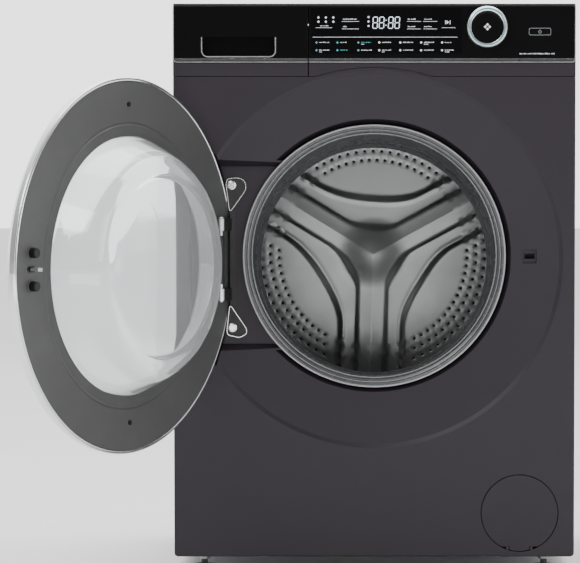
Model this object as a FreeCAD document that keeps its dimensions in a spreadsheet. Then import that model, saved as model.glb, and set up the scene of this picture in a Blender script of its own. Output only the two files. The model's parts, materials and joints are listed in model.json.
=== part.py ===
import FreeCAD, Part

import os
import re

import Sketcher

# A 595 mm wide front load washing machine with its round door open.
# Every piece is drawn in cabinet coordinates: X to the right, Y backwards from the front face, Z up from
# the floor. Placements then move the pieces so that the origin lies midway between the four feet.

SIZES = {
    # cabinet
    "cab_width": 595, "cab_height": 850, "cab_depth": 460, "foot_gap": 29, "steel": 1,
    "origin_y": 230, "worktop_low": 832, "side_top": 831, "side_front": 15,
    "flange": 18,
    # front panel and its round dish
    "front_skin": 2, "front_fold": 14, "sill_low": 742.6, "corner_round": 6, "edge_round": 2.5,
    "door_z": 471.5, "dish_outer": 282, "dish_crease": 274, "dish_crease_y": 3.4, "dish_inner": 206,
    "dish_inner_y": 9.7, "port_z": 477, "port_radius": 196, "port_mouth": 203, "port_mouth_y": 10.6,
    "port_y": 24, "port_lip_y": 34,
    # hollow beside the hinge, and the deeper well that the door's edge swings through
    "hollow_y": 22, "hollow_left": 277, "hollow_right": 120, "hollow_up": 138, "hollow_down": 126,
    "hollow_slope": 12, "well_y": 47, "well_right": 208, "well_half": 157, "well_arc": 480,
    "well_reach": 294,
    # console, drawer front and trims
    "trim_low": 763, "face_low": 769, "face_top": 846.6, "drawer_edge": 98.1, "console_edge": 97.1,
    "console_skin": 2.5, "console_deep": 32, "trim_proud": 0.6, "end_trim": 1.6, "strip_set": 0.6,
    "glass_left": 93, "glass_right": 130, "glass_low": 775, "glass_high": 843, "glass_thick": 1.2,
    "dial_x": 166.5, "dial_z": 815.4, "dial_radius": 30.9, "dial_proud": 13, "dial_face": 24.5,
    "dial_shaft": 3, "power_x": 244.5, "power_z": 808.7, "power_wide": 34.1,
    "power_high": 11.9, 
    "grip_left": 255, "grip_right": 146, "grip_low": 771.6, "grip_high": 800.5, "grip_deep": 20,
    "grip_round": 9,
    # dispenser drawer
    "tray_left": 284, "tray_right": 112, "tray_low": 774, "tray_high": 806, "tray_back": 232,
    "tray_wall": 2, "house_left": 288, "house_right": 106, "house_low": 769.5, "house_high": 812,
    "house_front": 34, "house_back": 250, "house_wall": 2,
    # door, drawn closed
    "hinge_x": 227, "hinge_y": 0, "door_y": 5, "ring_radius": 262.5, "ring_thick": 3,
    "bowl_seat": 187, "rim_radius": 267.5, "window_radius": 243,
    "bumper_x": 229, "bumper_high": 27.3, "bumper_low": 18.3, "bumper_radius": 7, "bumper_long": 11,
    "knuckle_radius": 5.5, "knuckle_gap": 52, "knuckle_long": 18.5, "pin_radius": 3, "pin_fit": 0.05,
    "hook_x": 230.5, "hook_z": 476.5, "hook_pivot_y": 13, "hook_pin": 1.5, "lock_x": 230.5, "lock_z": 476.5,
    "lock_recess": 21, "lock_floor": 11.5, "slot_wide": 15, "slot_high": 8,
    # washing group
    "drum_z": 464.5, "gasket_z": 466.5, "drum_radius": 262.5, "drum_front": 102, "drum_back": 366,
         "drum_skin": 1,
    "mouth_radius": 176, "tub_radius": 282, "tub_inner": 277, "tub_front": 84, "tub_split": 205,
    "tub_back": 398, "tub_wall": 5, "tub_mouth": 184, "shaft_radius": 12.5, "hub_radius": 38,
    "hub_front": 372, "hub_back": 424, "stator_outer": 118, "rotor_radius": 132,
    "hose_radius": 15, "hose_z": 150, "spout_y": 88, "heater_half": 12, "heater_wire": 3.6,
         "heater_drop": 269.6, "sump_x": 150, "sump_y": 260, "sump_low": 190, "spring_x": 244,
         "spring_y": 300, "spring_top": 810.4, "spring_low": 640.4, "spring_wire": 1.7,
    "coil_radius": 11, "coil_pitch": 13, "coil_turns": 8, "damper_x": 205, "damper_y": 240,
    # drain filter and flap
    "flap_x": 216.2, "flap_z": 94.3, "flap_radius": 56.8, "flap_hole": 57.9, "flap_thick": 2.2,
    "flap_axis_y": 2.6, "flap_axis_z": 41.2, "flap_pin": 1.6, "filter_radius": 30, "filter_front": 26,
    "filter_back": 112, "cap_radius": 26.5, "impeller_radius": 20,
    # back of the cabinet
    "drain_x": -235, "drain_z": 712, "inlet_x": -200, "inlet_z": 765, "inlet_radius": 13.2,
    "gland_x": 235, "gland_z": 160, "transit_x": 215, "transit_low": 260, "transit_high": 665,
    # feet
    "foot_x": 255, "foot_front": 50, "foot_back": 410, "foot_radius": 19, "foot_thick": 11,
    "foot_stem": 5, "foot_top": 56, "nut_radius": 9, "nut_low": 20, "nut_thick": 7,
}

doc = FreeCAD.newDocument("washing_machine")
sheet = doc.addObject("Spreadsheet::Sheet", "dims")
for row, (alias, number) in enumerate(SIZES.items(), 1):
    sheet.set(f"A{row}", alias)
    sheet.set(f"B{row}", str(number))
    sheet.setAlias(f"B{row}", alias)
doc.recompute()

ALONG = {
    "X": FreeCAD.Rotation(FreeCAD.Vector(0, 1, 0), 90),
    "Y": FreeCAD.Rotation(FreeCAD.Vector(1, 0, 0), -90),
    "Z": FreeCAD.Rotation(),
}
PIECES = []


def with_sheet(text):
    """The expression with each alias looked up in the sheet."""
    return re.sub(r"[a-z]\w*", lambda word: "dims." + word.group()
                  if word.group() in SIZES else word.group(), text)


def number(text):
    """The value that an expression has now."""
    return float(sheet.evalExpression(with_sheet(text)))


def bind(obj, prop, text):
    obj.setExpression(prop, with_sheet(text))


def place(obj, corner):
    for axis, text in zip("xyz", corner):
        bind(obj, "Placement.Base." + axis, text)


def box(name, size, corner):
    obj = doc.addObject("Part::Box", name)
    for prop, text in zip(("Length", "Width", "Height"), size):
        bind(obj, prop, text)
    place(obj, corner)
    return obj


def span(name, x, y, z):
    """A box from its three pairs of limits."""
    size = [f"({high}) - ({low})" for low, high in (x, y, z)]
    return box(name, size, [low for low, high in (x, y, z)])


def rod(name, radius, length, foot, along="Y"):
    obj = doc.addObject("Part::Cylinder", name)
    bind(obj, "Radius", radius)
    bind(obj, "Height", length)
    obj.Placement.Rotation = ALONG[along]
    place(obj, foot)
    return obj


def cone(name, radius, far_radius, length, foot, along="Y"):
    obj = doc.addObject("Part::Cone", name)
    bind(obj, "Radius1", radius)
    bind(obj, "Radius2", far_radius)
    bind(obj, "Height", length)
    obj.Placement.Rotation = ALONG[along]
    place(obj, foot)
    return obj


def ball(name, radius, centre):
    obj = doc.addObject("Part::Sphere", name)
    bind(obj, "Radius", radius)
    place(obj, centre)
    return obj


def wedge(name, x, y, z, slope):
    """A block from y[0] to y[1] whose sides draw in by slope at the far end."""
    obj = doc.addObject("Part::Wedge", name)
    limits = {"Xmin": x[0], "Xmax": x[1], "Ymin": y[0], "Ymax": y[1], "Zmin": z[0], "Zmax": z[1]}
    limits.update({"X2min": f"{x[0]} + {slope}", "X2max": f"{x[1]} - {slope}"})
    limits.update({"Z2min": f"{z[0]} + {slope}", "Z2max": f"{z[1]} - {slope}"})
    for prop, text in limits.items():
        bind(obj, prop, text)
    return obj


def fuse(name, *shapes):
    obj = doc.addObject("Part::MultiFuse", name)
    obj.Shapes = list(shapes)
    return obj


def common(name, *shapes):
    obj = doc.addObject("Part::MultiCommon", name)
    obj.Shapes = list(shapes)
    return obj


def cut(name, base, *tools):
    obj = doc.addObject("Part::Cut", name)
    obj.Base = base
    obj.Tool = tools[0] if len(tools) == 1 else fuse(name + "_tools", *tools)
    return obj


def group(name, *shapes):
    """Identical pieces as separate solids of one node."""
    obj = doc.addObject("Part::Compound", name)
    obj.Links = list(shapes)
    return obj


def tube(name, outer, inner, length, foot, along="Y"):
    return cut(name, rod(name + "_outside", outer, length, foot, along),
               rod(name + "_bore", inner, length, foot, along))


def rounded(name, base, radius, wanted):
    """The edges of base that wanted picks get a fillet."""
    doc.recompute()
    size = number(radius)
    obj = doc.addObject("Part::Fillet", name)
    obj.Base = base
    obj.Edges = [(i, size, size) for i, edge in enumerate(base.Shape.Edges, 1) if wanted(edge)]
    return obj


def runs_along(edge, axis):
    start, end = edge.Vertexes[0].Point, edge.Vertexes[-1].Point
    step = end - start
    across = [abs(getattr(step, other)) for other in "xyz" if other != axis]
    return len(edge.Vertexes) == 2 and abs(getattr(step, axis)) > 1e-6 and max(across) < 1e-6


def lies_at(edge, axis, text):
    level = number(text)
    return all(abs(getattr(p, axis) - level) < 1e-4 for p in edge.discretize(5))


def outline(sketch, points):
    """A closed outline of straight lines, each corner held by two dimensions from the sketch's origin."""
    corners = [FreeCAD.Vector(number(a), number(b), 0) for a, b in points]
    for i, corner in enumerate(corners):
        sketch.addGeometry(Part.LineSegment(corner, corners[(i + 1) % len(corners)]), False)
    for i in range(len(corners)):
        sketch.addConstraint(Sketcher.Constraint("Coincident", i, 2, (i + 1) % len(corners), 1))
    for i, point in enumerate(points):
        for kind, text, axis in zip(("DistanceX", "DistanceY"), point, (-2, -1)):
            value = number(text)
            if abs(value) < 1e-9:
                sketch.addConstraint(Sketcher.Constraint("PointOnObject", i, 1, axis))
                continue
            index = sketch.addConstraint(Sketcher.Constraint(kind, -1, 1, i, 1, value))
            bind(sketch, f"Constraints[{index}]", text)


def sketch_on(body, role, name):
    plane = [o for o in body.Origin.OriginFeatures if o.Role == role][0]
    sketch = body.newObject("Sketcher::SketchObject", name)
    sketch.AttachmentSupport = (plane, [""])
    sketch.MapMode = "FlatFace"
    return sketch


def turned(name, points, height, angle=360):
    """A body turned about the level axis through the given height. Points are (radius, depth)."""
    body = doc.addObject("PartDesign::Body", name)
    sketch = sketch_on(body, "XY_Plane", name + "_profile")
    outline(sketch, points)
    turn = body.newObject("PartDesign::Revolution", name + "_turn")
    turn.Profile = sketch
    turn.ReferenceAxis = (sketch, ["V_Axis"])
    turn.Angle = angle
    place(body, ("0", "0", height))
    return body


def plate(name, points, low, thick, plane="XZ_Plane"):
    """A body padded from an outline in the given plane."""
    body = doc.addObject("PartDesign::Body", name)
    sketch = sketch_on(body, plane, name + "_outline")
    outline(sketch, points)
    pad = body.newObject("PartDesign::Pad", name + "_pad")
    pad.Profile = sketch
    bind(pad, "Length", thick)
    pad.Reversed = plane == "XZ_Plane"
    shift = {"XZ_Plane": ("0", low, "0"), "XY_Plane": ("0", "0", low), "YZ_Plane": (low, "0", "0")}
    place(body, shift[plane])
    return body


def soften(body, radius, wanted):
    """Fillets on the edges of a body's last feature."""
    doc.recompute()
    tip = body.Tip
    edges = [f"Edge{i}" for i, edge in enumerate(tip.Shape.Edges, 1) if wanted(edge)]
    fillet = body.newObject("PartDesign::Fillet", f"{body.Name}_fillet{len(body.Group)}")
    fillet.Base = (tip, edges)
    bind(fillet, "Radius", radius)
    return body


def circle_of(radius, depth):
    """Picks the round edge of a turned body that has this radius and depth."""
    def wanted(edge):
        is_round = edge.Curve.TypeId == "Part::GeomCircle" and abs(edge.Curve.Radius - number(radius)) < 1e-4
        return is_round and abs(edge.Curve.Center.y - number(depth)) < 1e-4
    return wanted


def piece(label, obj, body="cabinet"):
    """Marks a finished piece, which gets its label and its place in the row's frame."""
    obj.Label = label
    PIECES.append((label, obj, body))
    return obj


# ---------------------------------------------------------------- cabinet
HALF = "cab_width / 2"
FLOOR_Z = "foot_gap"


def side_panel(label, sign):
    """A folded steel side with a rear flange."""
    low, high = ("-(cab_width / 2)", "-(cab_width / 2) + steel") if sign < 0 else (HALF + " - steel", HALF)
    skin = span(label + "_skin", (low, high), ("side_front", "cab_depth - 2"), (FLOOR_Z, "side_top"))
    inner = ("-(cab_width / 2)", "-(cab_width / 2) + flange") if sign < 0 else (HALF + " - flange", HALF)
    back = span(label + "_back", inner, ("cab_depth - 2 - steel", "cab_depth - 2"), (FLOOR_Z, "side_top"))
    top = span(label + "_top", inner, ("side_front + 21", "cab_depth - 2"),
               ("side_top - steel", "side_top"))
    foot = span(label + "_foot", inner, ("side_front", "cab_depth - 2"), (FLOOR_Z, FLOOR_Z + " + steel"))
    reach = ("-(cab_width / 2)", "-spring_x + 24") if sign < 0 else ("spring_x - 24", HALF)
    hanger = span(label + "_hanger", reach, ("spring_y - 14", "spring_y + 14"),
                  ("spring_top", "spring_top + 3"))
    return piece(label, fuse(label, skin, back, top, foot, hanger))


side_panel("left_side", -1)
side_panel("right_side", 1)

base_block = span("base_block", ("-(cab_width / 2) + 1.4", HALF + " - 1.4"),
                  ("side_front + 1", "cab_depth - 4"), (FLOOR_Z + " + 1.4", FLOOR_Z + " + 24"))
base_hollow = span("base_hollow", ("-(cab_width / 2) + 2.8", HALF + " - 2.8"),
                   ("side_front + 2.4", "cab_depth - 5.4"), (FLOOR_Z + " + 2.8", FLOOR_Z + " + 25"))
feet_at = [(x, y) for x in ("-foot_x", "foot_x") for y in ("foot_front", "foot_back")]
stem_holes = [rod(f"stem_hole_{i}", "foot_stem + 0.4", "40", (x, y, "10"), "Z") for i,
              (x, y) in enumerate(feet_at)]
drip_way = rod("flap_room", "flap_radius + 9", "30", ("flap_x", "0", "flap_z"), "Y")
piece("base_tray", cut("base_tray", base_block, base_hollow, drip_way, *stem_holes))

rear_skin = span("rear_skin", ("-(cab_width / 2) + 1", HALF + " - 1"),
                 ("cab_depth - 1.8", "cab_depth - 0.8"),
                 (FLOOR_Z, "worktop_low - 2"))
service_hole = rounded("service_hole",
                       span("service_block", ("-175", "175"), ("cab_depth - 10", "cab_depth + 10"),
                                            ("280", "640")), "60", lambda e: runs_along(e, "y"))
valve_hole = span("valve_hole", ("inlet_x - 32", "inlet_x + 32"), ("cab_depth - 10", "cab_depth + 10"),
                  ("inlet_z - 25", "inlet_z + 25"))
drain_hole = rod("drain_hole", "15", "20", ("drain_x", "cab_depth - 10", "drain_z"))
cord_hole = rod("cord_hole", "9", "20", ("gland_x", "cab_depth - 10", "gland_z"))
transit_at = [(x, z) for x in ("-transit_x", "transit_x") for z in ("transit_low", "transit_high")]
transit_holes = [rod(f"transit_hole_{i}", "14", "20", (x, "cab_depth - 10", z)) for i,
                 (x, z) in enumerate(transit_at)]
screws_at = [("-180.5", "460"), ("180.5", "460"), ("0", "274.5"), ("0", "645.5")]
screw_holes = [rod(f"screw_hole_{i}", "2", "20", (x, "cab_depth - 10", z)) for i,
               (x, z) in enumerate(screws_at)]
piece("rear_panel",
      cut("rear_panel", rear_skin, service_hole, valve_hole, drain_hole, cord_hole, *transit_holes,
                        *screw_holes))

cover_plate = rounded("cover_plate",
                      span("cover_block", ("-186", "186"), ("cab_depth - 0.7", "cab_depth + 1.3"),
                                          ("269", "651")), "66", lambda e: runs_along(e, "y"))
cover_bulge = rounded("cover_bulge", span("bulge_block", ("-160", "160"), ("cab_depth", "cab_depth + 12"),
                                          ("295", "625")), "50", lambda e: runs_along(e, "y"))
bulge_hollow = rounded("bulge_hollow",
                       span("bulge_room", ("-157.5", "157.5"), ("cab_depth - 10", "cab_depth + 10"),
                                            ("297.5", "622.5")), "47.5", lambda e: runs_along(e, "y"))
piece("rear_cover",
      cut("rear_cover", fuse("cover_form", cover_plate, cover_bulge), bulge_hollow, *screw_holes))
piece("rear_screws", group("rear_screws", *[
    fuse(f"rear_screw_{i}", rod(f"rear_head_{i}", "4", "2.2", (x, "cab_depth + 1.3", z)),
         rod(f"rear_thread_{i}", "1.9", "9", (x, "cab_depth - 7", z)))
    for i, (x, z) in enumerate(screws_at)]))
piece("transit_caps", group("transit_caps", *[
    fuse(f"transit_cap_{i}", rod(f"cap_disc_{i}", "18", "2.4", (x, "cab_depth - 0.7", z)),
         rod(f"cap_plug_{i}", "13.6", "12", (x, "cab_depth - 12", z)))
    for i, (x, z) in enumerate(transit_at)]))

top_board = rounded("top_board", span("board_block", ("-(cab_width / 2) + 0.5", HALF + " - 0.5"),
                                      ("console_deep + 1", "cab_depth"), ("worktop_low", "cab_height")),
                    "3",
                    lambda e: lies_at(e, "z", "cab_height") and not lies_at(e, "y", "console_deep + 1"))
top_lip = rounded("top_lip", span("lip_block", ("-(cab_width / 2) + 0.5", HALF + " - 0.5"),
                                  ("1.5", "console_deep + 8"), ("face_top + 0.5", "cab_height")),
                  "1.2", lambda e: lies_at(e, "z", "cab_height") and lies_at(e, "y", "1.5"))
piece("worktop", fuse("worktop", top_board, top_lip))

# ---------------------------------------------------------------- front panel
front_block = span("front_block", ("-(cab_width / 2)", HALF), ("0", "front_fold"),
                   (FLOOR_Z, "sill_low - 0.5"))
front_corners = rounded("front_corners", front_block, "corner_round",
                        lambda e: runs_along(e, "y") and e.Vertexes[0].Point.z < 100)
front_form = fuse("front_form", front_corners,
                  rod("dish_crown", "dish_outer + 2", "front_fold", ("0", "0", "door_z")))
front_soft = rounded("front_soft", front_form, "edge_round",
                     lambda e: lies_at(e, "y", "0") and e.BoundBox.ZMin < number("sill_low") - 20)
front_room = span("front_room", ("-(cab_width / 2) + front_skin", HALF + " - front_skin"),
                  ("front_skin", "front_fold + 5"),
                  (FLOOR_Z + " + front_skin", "sill_low - 0.5 - front_skin"))
crown_room = rod("crown_room", "dish_outer", "front_fold + 5", ("0", "front_skin", "door_z"))
dish_hole = rod("dish_hole", "dish_outer - 2", "60", ("0", "-5", "door_z"))
front_tray = cut("front_tray", front_soft, front_room, crown_room, dish_hole)

dish = soften(turned("dish", [
    ("dish_outer + 1", "0"), ("dish_outer - 1", "0"), ("dish_crease", "dish_crease_y"),
    ("dish_inner", "dish_inner_y"), ("185", "dish_inner_y + 2.1"),
                              ("185", "dish_inner_y + 2.1 + front_skin"),
    ("dish_inner", "dish_inner_y + front_skin"), ("dish_crease", "dish_crease_y + front_skin"),
    ("dish_outer + 1", "front_skin")], "door_z"), "5", circle_of("dish_outer - 1", "0"))
port_hole = rod("port_hole", "port_mouth", "80", ("0", "-10", "port_z"))
port_flange = turned("port_flange", [
    ("port_mouth + 2.5", "port_mouth_y"), ("port_mouth", "port_mouth_y"), ("port_radius", "port_y"),
    ("port_radius", "port_lip_y"), ("port_radius + 1.8", "port_lip_y"),
                                     ("port_radius + 1.8", "port_y + 0.8"),
    ("port_mouth + 2.5", "port_mouth_y + 2.4")], "port_z")
front_dished = fuse("front_dished", front_tray, cut("dish_ring", dish, port_hole), port_flange)

# the air in front of the panel trims what the hollow and the well add
air = turned("air", [
    ("0", "-20"), ("340", "-20"), ("340", "0"), ("dish_outer - 1", "0"), ("dish_crease", "dish_crease_y"),
    ("dish_inner", "dish_inner_y"), ("185", "dish_inner_y + 2.1"), ("0", "dish_inner_y + 2.1")], "door_z")
port_bore = rod("port_bore", "port_radius", "80", ("0", "-10", "port_z"))


def hollow(name, grow, back):
    """The hollow beside the hinge, grown by the panel's thickness on each side for its outside."""
    block = wedge(name + "_block", (f"-hollow_left - {grow}", f"-hollow_right + {grow}"), ("0", back),
                  (f"door_z - hollow_down - hollow_slope - {grow}",
                   f"door_z + hollow_up + hollow_slope + {grow}"),
                  "hollow_slope")
    return common(name, block, rod(name + "_round", f"dish_crease + {grow}", "60", ("0", "-5", "door_z")))


def well(name, grow, back):
    """The well for the door's edge, bounded by a wide arc beside the hinge."""
    block = span(name + "_block", (f"-hollow_left - {grow}", "-200"), ("0", back),
                 (f"door_z - well_half - {grow}", f"door_z + well_half + {grow}"))
    side = rod(name + "_side", f"well_arc + {grow}", "80", ("-well_right - well_arc", "-5", "door_z"))
    return common(name, block, side,
                  rod(name + "_reach", f"well_reach + {grow}", "80", ("0", "-5", "door_z")))


hollow_shell = cut("hollow_shell", hollow("hollow_outer", "front_skin", "hollow_y + front_skin"), air,
                   port_bore)
well_shell = cut("well_shell", well("well_outer", "front_skin", "well_y + front_skin"), air)
front_cup = fuse("front_cup", front_dished, hollow_shell, well_shell)

lock_room = rounded("lock_room",
                    span("lock_block", ("lock_x - lock_recess / 2", "lock_x + lock_recess / 2"),
                                      ("-5", "lock_floor"),
                                      ("lock_z - lock_recess / 2", "lock_z + lock_recess / 2")),
                    "2", lambda e: runs_along(e, "y"))
lock_cup = rounded("lock_cup",
                   span("lock_cup_block",
                        ("lock_x - lock_recess / 2 - 1.5", "lock_x + lock_recess / 2 + 1.5"),
                                    ("6", "lock_floor + 1.5"),
                                    ("lock_z - lock_recess / 2 - 1.5", "lock_z + lock_recess / 2 + 1.5")),
                   "3", lambda e: runs_along(e, "y"))
lock_slot = span("lock_slot", ("lock_x - slot_wide / 2", "lock_x + slot_wide / 2"), ("0", "40"),
                 ("lock_z - slot_high / 2", "lock_z + slot_high / 2"))
flap_hole = rod("flap_hole_tool", "flap_hole", "60", ("flap_x", "-5", "flap_z"))
front_full = fuse("front_full", front_cup, cut("lock_cup_trim", lock_cup, air))
piece("front_panel", cut("front_panel", front_full, hollow("hollow_inner", "0", "hollow_y"),
                         well("well_inner", "0", "well_y"), lock_room, lock_slot, flap_hole))

# ---------------------------------------------------------------- console
def shelled(name, x, z, deep):
    """A moulded cover, open at the back, with its front edges softened."""
    block = rounded(name + "_form", span(name + "_block", x, ("0", deep), z), "1.2",
                    lambda e: lies_at(e, "y", "0"))
    room = span(name + "_room", (f"{x[0]} + console_skin", f"{x[1]} - console_skin"),
                ("console_skin", f"{deep} + 5"),
                (f"{z[0]} + console_skin", f"{z[1]} - console_skin"))
    return block, room


face, face_room = shelled("console_face", ("-console_edge", HALF + " - end_trim"), ("face_low", "face_top"),
                          "console_deep")
glass_seat = span("glass_seat", ("-glass_left", "glass_right"), ("-5", "glass_thick"),
                  ("glass_low", "glass_high"))
dial_hole = rod("dial_hole", "dial_shaft + 0.6", "20", ("dial_x", "-5", "dial_z"))
power_hole = span("power_hole", ("power_x - power_wide / 2 - 0.5", "power_x + power_wide / 2 + 0.5"),
                  ("-5", "10"),
                  ("power_z - power_high / 2 - 0.5", "power_z + power_high / 2 + 0.5"))
piece("control_panel", cut("control_panel", face, face_room, glass_seat, dial_hole, power_hole))
piece("display_window",
      rounded("display_window", span("display_block", ("-glass_left + 0.2", "glass_right - 0.2"),
                                                       ("0", "glass_thick - 0.1"),
                                                       ("glass_low + 0.2", "glass_high - 0.2")),
                                "0.4", lambda e: lies_at(e, "y", "0")))
trim_bar = span("trim_bar", ("-console_edge", HALF), ("-trim_proud", "10"), ("trim_low", "face_low - 0.15"))
trim_end = span("trim_end", (HALF + " - end_trim + 0.1", HALF), ("-trim_proud", "10"),
                ("face_low - 1", "face_top"))
piece("console_trim", rounded("console_trim", fuse("trim_form", trim_bar, trim_end), "0.5",
                              lambda e: lies_at(e, "y", "-trim_proud")))
sill_round = rod("sill_round", "dish_outer + 2.6", "60", ("0", "-5", "door_z"))
sill_bar = span("sill_bar", ("-console_edge", HALF), ("strip_set", "14"), ("sill_low", "trim_low - 0.15"))
sill_room = span("sill_room", ("-console_edge + 2", HALF + " - 2"), ("strip_set + 2", "20"),
                 ("sill_low + 2", "trim_low - 2"))
sill_soft = rounded("sill_soft", sill_bar, "1", lambda e: lies_at(e, "y", "strip_set"))
piece("console_strip", cut("console_strip", sill_soft, sill_room, sill_round))

board = span("board", ("-88", "262"), ("18", "19.6"), ("776", "838"))
keys = [rod(f"key_{i}", "3", "2", (f"{-70 + 26 * i}", "16", "800"), "Y") for i in range(7)]
encoder = tube("encoder", "8", "dial_shaft + 0.05", "7", ("dial_x", "11", "dial_z"))
piece("display_board",
      fuse("display_board",
           cut("board_drilled", board, rod("board_hole", "4", "10", ("dial_x", "15", "dial_z"))),
                            encoder, *keys))

dial_body = turned("dial_body", [
    ("0", "-dial_proud + 1.2"), ("dial_face", "-dial_proud + 1.2"), ("dial_face", "-dial_proud"),
    ("dial_radius - 1.6", "-dial_proud"), ("dial_radius", "-dial_proud + 2"), ("dial_radius", "-0.5"),
    ("dial_radius - 2.2", "-0.5"), ("dial_radius - 2.2", "-dial_proud + 3.4"),
    ("7", "-dial_proud + 3.4"), ("7", "-1"), ("dial_shaft", "-1"), ("dial_shaft", "17.5"), ("0", "17.5")],
                   "dial_z")
bind(dial_body, "Placement.Base.x", "dial_x")
piece("dial", dial_body, "dial")

power_cap = rounded("power_cap",
                    span("power_block", ("power_x - power_wide / 2", "power_x + power_wide / 2"),
                                      ("-0.8", "6"),
                         ("power_z - power_high / 2", "power_z + power_high / 2")),
                    "0.5", lambda e: lies_at(e, "y", "-0.8"))
piece("power_button",
      fuse("power_button", power_cap, rod("power_stem", "2.5", "8", ("power_x", "5", "power_z"))),
      "power_button")

# ---------------------------------------------------------------- dispenser drawer
drawer_x = ("-(cab_width / 2) + end_trim", "-drawer_edge")
drawer_form, drawer_room = shelled("drawer_face", drawer_x, ("face_low", "face_top"), "28")
grip_tool = rounded("grip_tool", span("grip_block", ("-grip_left", "-grip_right"), ("-5", "grip_deep"),
                                      ("grip_low", "grip_high")), "grip_round",
                    lambda e: runs_along(e, "y") and e.Vertexes[0].Point.z < 780)
grip_under = span("grip_under", ("-grip_left + 4", "-grip_right - 4"), ("4", "grip_deep"),
                  ("grip_high - 6", "grip_high + 6"))
grip_cup = rounded("grip_cup",
                   span("cup_block", ("-grip_left - 2", "-grip_right + 2"), ("1", "grip_deep + 2"),
                                    ("grip_low - 1.9", "grip_high + 8")), "grip_round + 2",
                   lambda e: runs_along(e, "y") and e.Vertexes[0].Point.z < 780)
drawer_shell = fuse("drawer_shell", cut("drawer_hull", drawer_form, drawer_room), grip_cup)
piece("drawer_front", cut("drawer_front", drawer_shell, grip_tool, grip_under), "drawer")
drawer_bar = span("drawer_bar", ("-(cab_width / 2)", "-drawer_edge"), ("-trim_proud", "10"),
                  ("trim_low", "face_low - 0.15"))
drawer_end = span("drawer_end", ("-(cab_width / 2)", "-(cab_width / 2) + end_trim - 0.1"),
                  ("-trim_proud", "10"),
                  ("face_low - 1", "face_top"))
piece("drawer_trim", rounded("drawer_trim", fuse("drawer_trim_form", drawer_bar, drawer_end), "0.5",
                             lambda e: lies_at(e, "y", "-trim_proud")), "drawer")
strip_bar = rounded("strip_bar",
                    span("strip_block", ("-(cab_width / 2)", "-drawer_edge"), ("strip_set", "14"),
                                      ("sill_low", "trim_low - 0.15")), "1",
                    lambda e: lies_at(e, "y", "strip_set"))
strip_room = span("strip_room", ("-(cab_width / 2) + 2", "-drawer_edge - 2"), ("strip_set + 2", "20"),
                  ("sill_low + 2", "trim_low - 2"))
piece("drawer_strip", cut("drawer_strip", strip_bar, strip_room), "drawer")

tray_block = span("tray_block", ("-tray_left", "-tray_right"), ("28", "tray_back"),
                  ("tray_low", "tray_high"))


def tray_bay(name, left, right, front):
    return span(name, (left, right), (front, "tray_back - tray_wall"),
                ("tray_low + tray_wall", "tray_high + 1"))


bays = [tray_bay("bay_main", "-tray_left + tray_wall", "-215", "30"),
        tray_bay("bay_softener", "-213", "-178", "80"),
        tray_bay("bay_prewash", "-176", "-tray_right - tray_wall", "30")]
piece("drawer_tray", cut("drawer_tray", tray_block, *bays), "drawer")
house_block = span("house_block", ("-house_left", "-house_right"), ("house_front", "house_back"),
                   ("house_low", "house_high"))
house_room = span("house_room", ("-house_left + house_wall", "-house_right - house_wall"),
                  ("house_front - 5", "house_back - house_wall"),
                  ("house_low + house_wall", "house_high - house_wall"))
house_spout = rod("house_spout", "14", "12", ("-150", "220", "house_low - 10"), "Z")
house_inlet = rod("house_inlet", "8", "14", ("inlet_x", "house_back - 1", "790"))
piece("dispenser_housing",
      cut("dispenser_housing", fuse("house_form", house_block, house_spout, house_inlet), house_room,
                               rod("spout_bore", "11", "30", ("-150", "220", "house_low - 15"), "Z"),
                               rod("inlet_bore", "5.5", "30", ("inlet_x", "house_back - 10", "790"))))

# ---------------------------------------------------------------- water in and out
valve_body = span("valve_body", ("inlet_x - 22", "inlet_x + 22"), ("cab_depth - 62", "cab_depth - 4"),
                  ("inlet_z - 17", "inlet_z + 17"))
valve_coil = rod("valve_coil", "12", "20", ("inlet_x", "cab_depth - 32", "inlet_z + 16"), "Z")
valve_face = rod("valve_face", "20", "4", ("inlet_x", "cab_depth - 5", "inlet_z"))
valve_thread = rod("valve_thread", "inlet_radius", "15", ("inlet_x", "cab_depth - 1", "inlet_z"))
valve_bore = rod("valve_bore", "8", "40", ("inlet_x", "cab_depth - 20", "inlet_z"))
piece("inlet_valve",
      cut("inlet_valve", fuse("valve_form", valve_body, valve_coil, valve_face, valve_thread), valve_bore))
fill_hose = fuse("fill_hose", tube("fill_level", "11", "8.1", "134", ("inlet_x", "house_back + 2", "790")),
                 rod("fill_end", "11", "4", ("inlet_x", "house_back + 132", "790")))
tub_hose = tube("tub_hose", "18", "14.3", "38", ("-150", "220", "house_low - 44"), "Z")
sump_hose = cut("sump_hose", fuse("sump_hose_form",
                                  rod("sump_cup", "27.5", "28", ("sump_x", "sump_y", "sump_low - 10"), "Z"),
                                  cone("sump_neck", "hose_radius", "27.5", "20",
                                       ("sump_x", "sump_y", "sump_low - 29.5"), "Z"),
                                  rod("sump_down", "hose_radius", "sump_low - 29 - hose_z",
                                      ("sump_x", "sump_y", "hose_z"), "Z"),
                                  ball("sump_elbow", "hose_radius", ("sump_x", "sump_y", "hose_z")),
                                  rod("sump_run", "hose_radius", "sump_y - spout_y",
                                      ("sump_x", "spout_y", "hose_z")),
                                  ball("sump_turn", "hose_radius", ("sump_x", "spout_y", "hose_z")),
                                  rod("sump_across", "hose_radius", "flap_x - sump_x",
                                      ("sump_x", "spout_y", "hose_z"), "X"),
                                  rod("sump_collar", "18.5", "hose_z + 6 - flap_z - 30",
                                      ("flap_x", "spout_y", "flap_z + 30"), "Z")),
                rod("sump_cup_bore", "24.3", "30", ("sump_x", "sump_y", "sump_low - 0.3"), "Z"),
                rod("sump_collar_bore", "15.3", "24", ("flap_x", "spout_y", "flap_z + 28"), "Z"))
piece("water_hoses", group("water_hoses", fill_hose, tub_hose, sump_hose))
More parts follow.
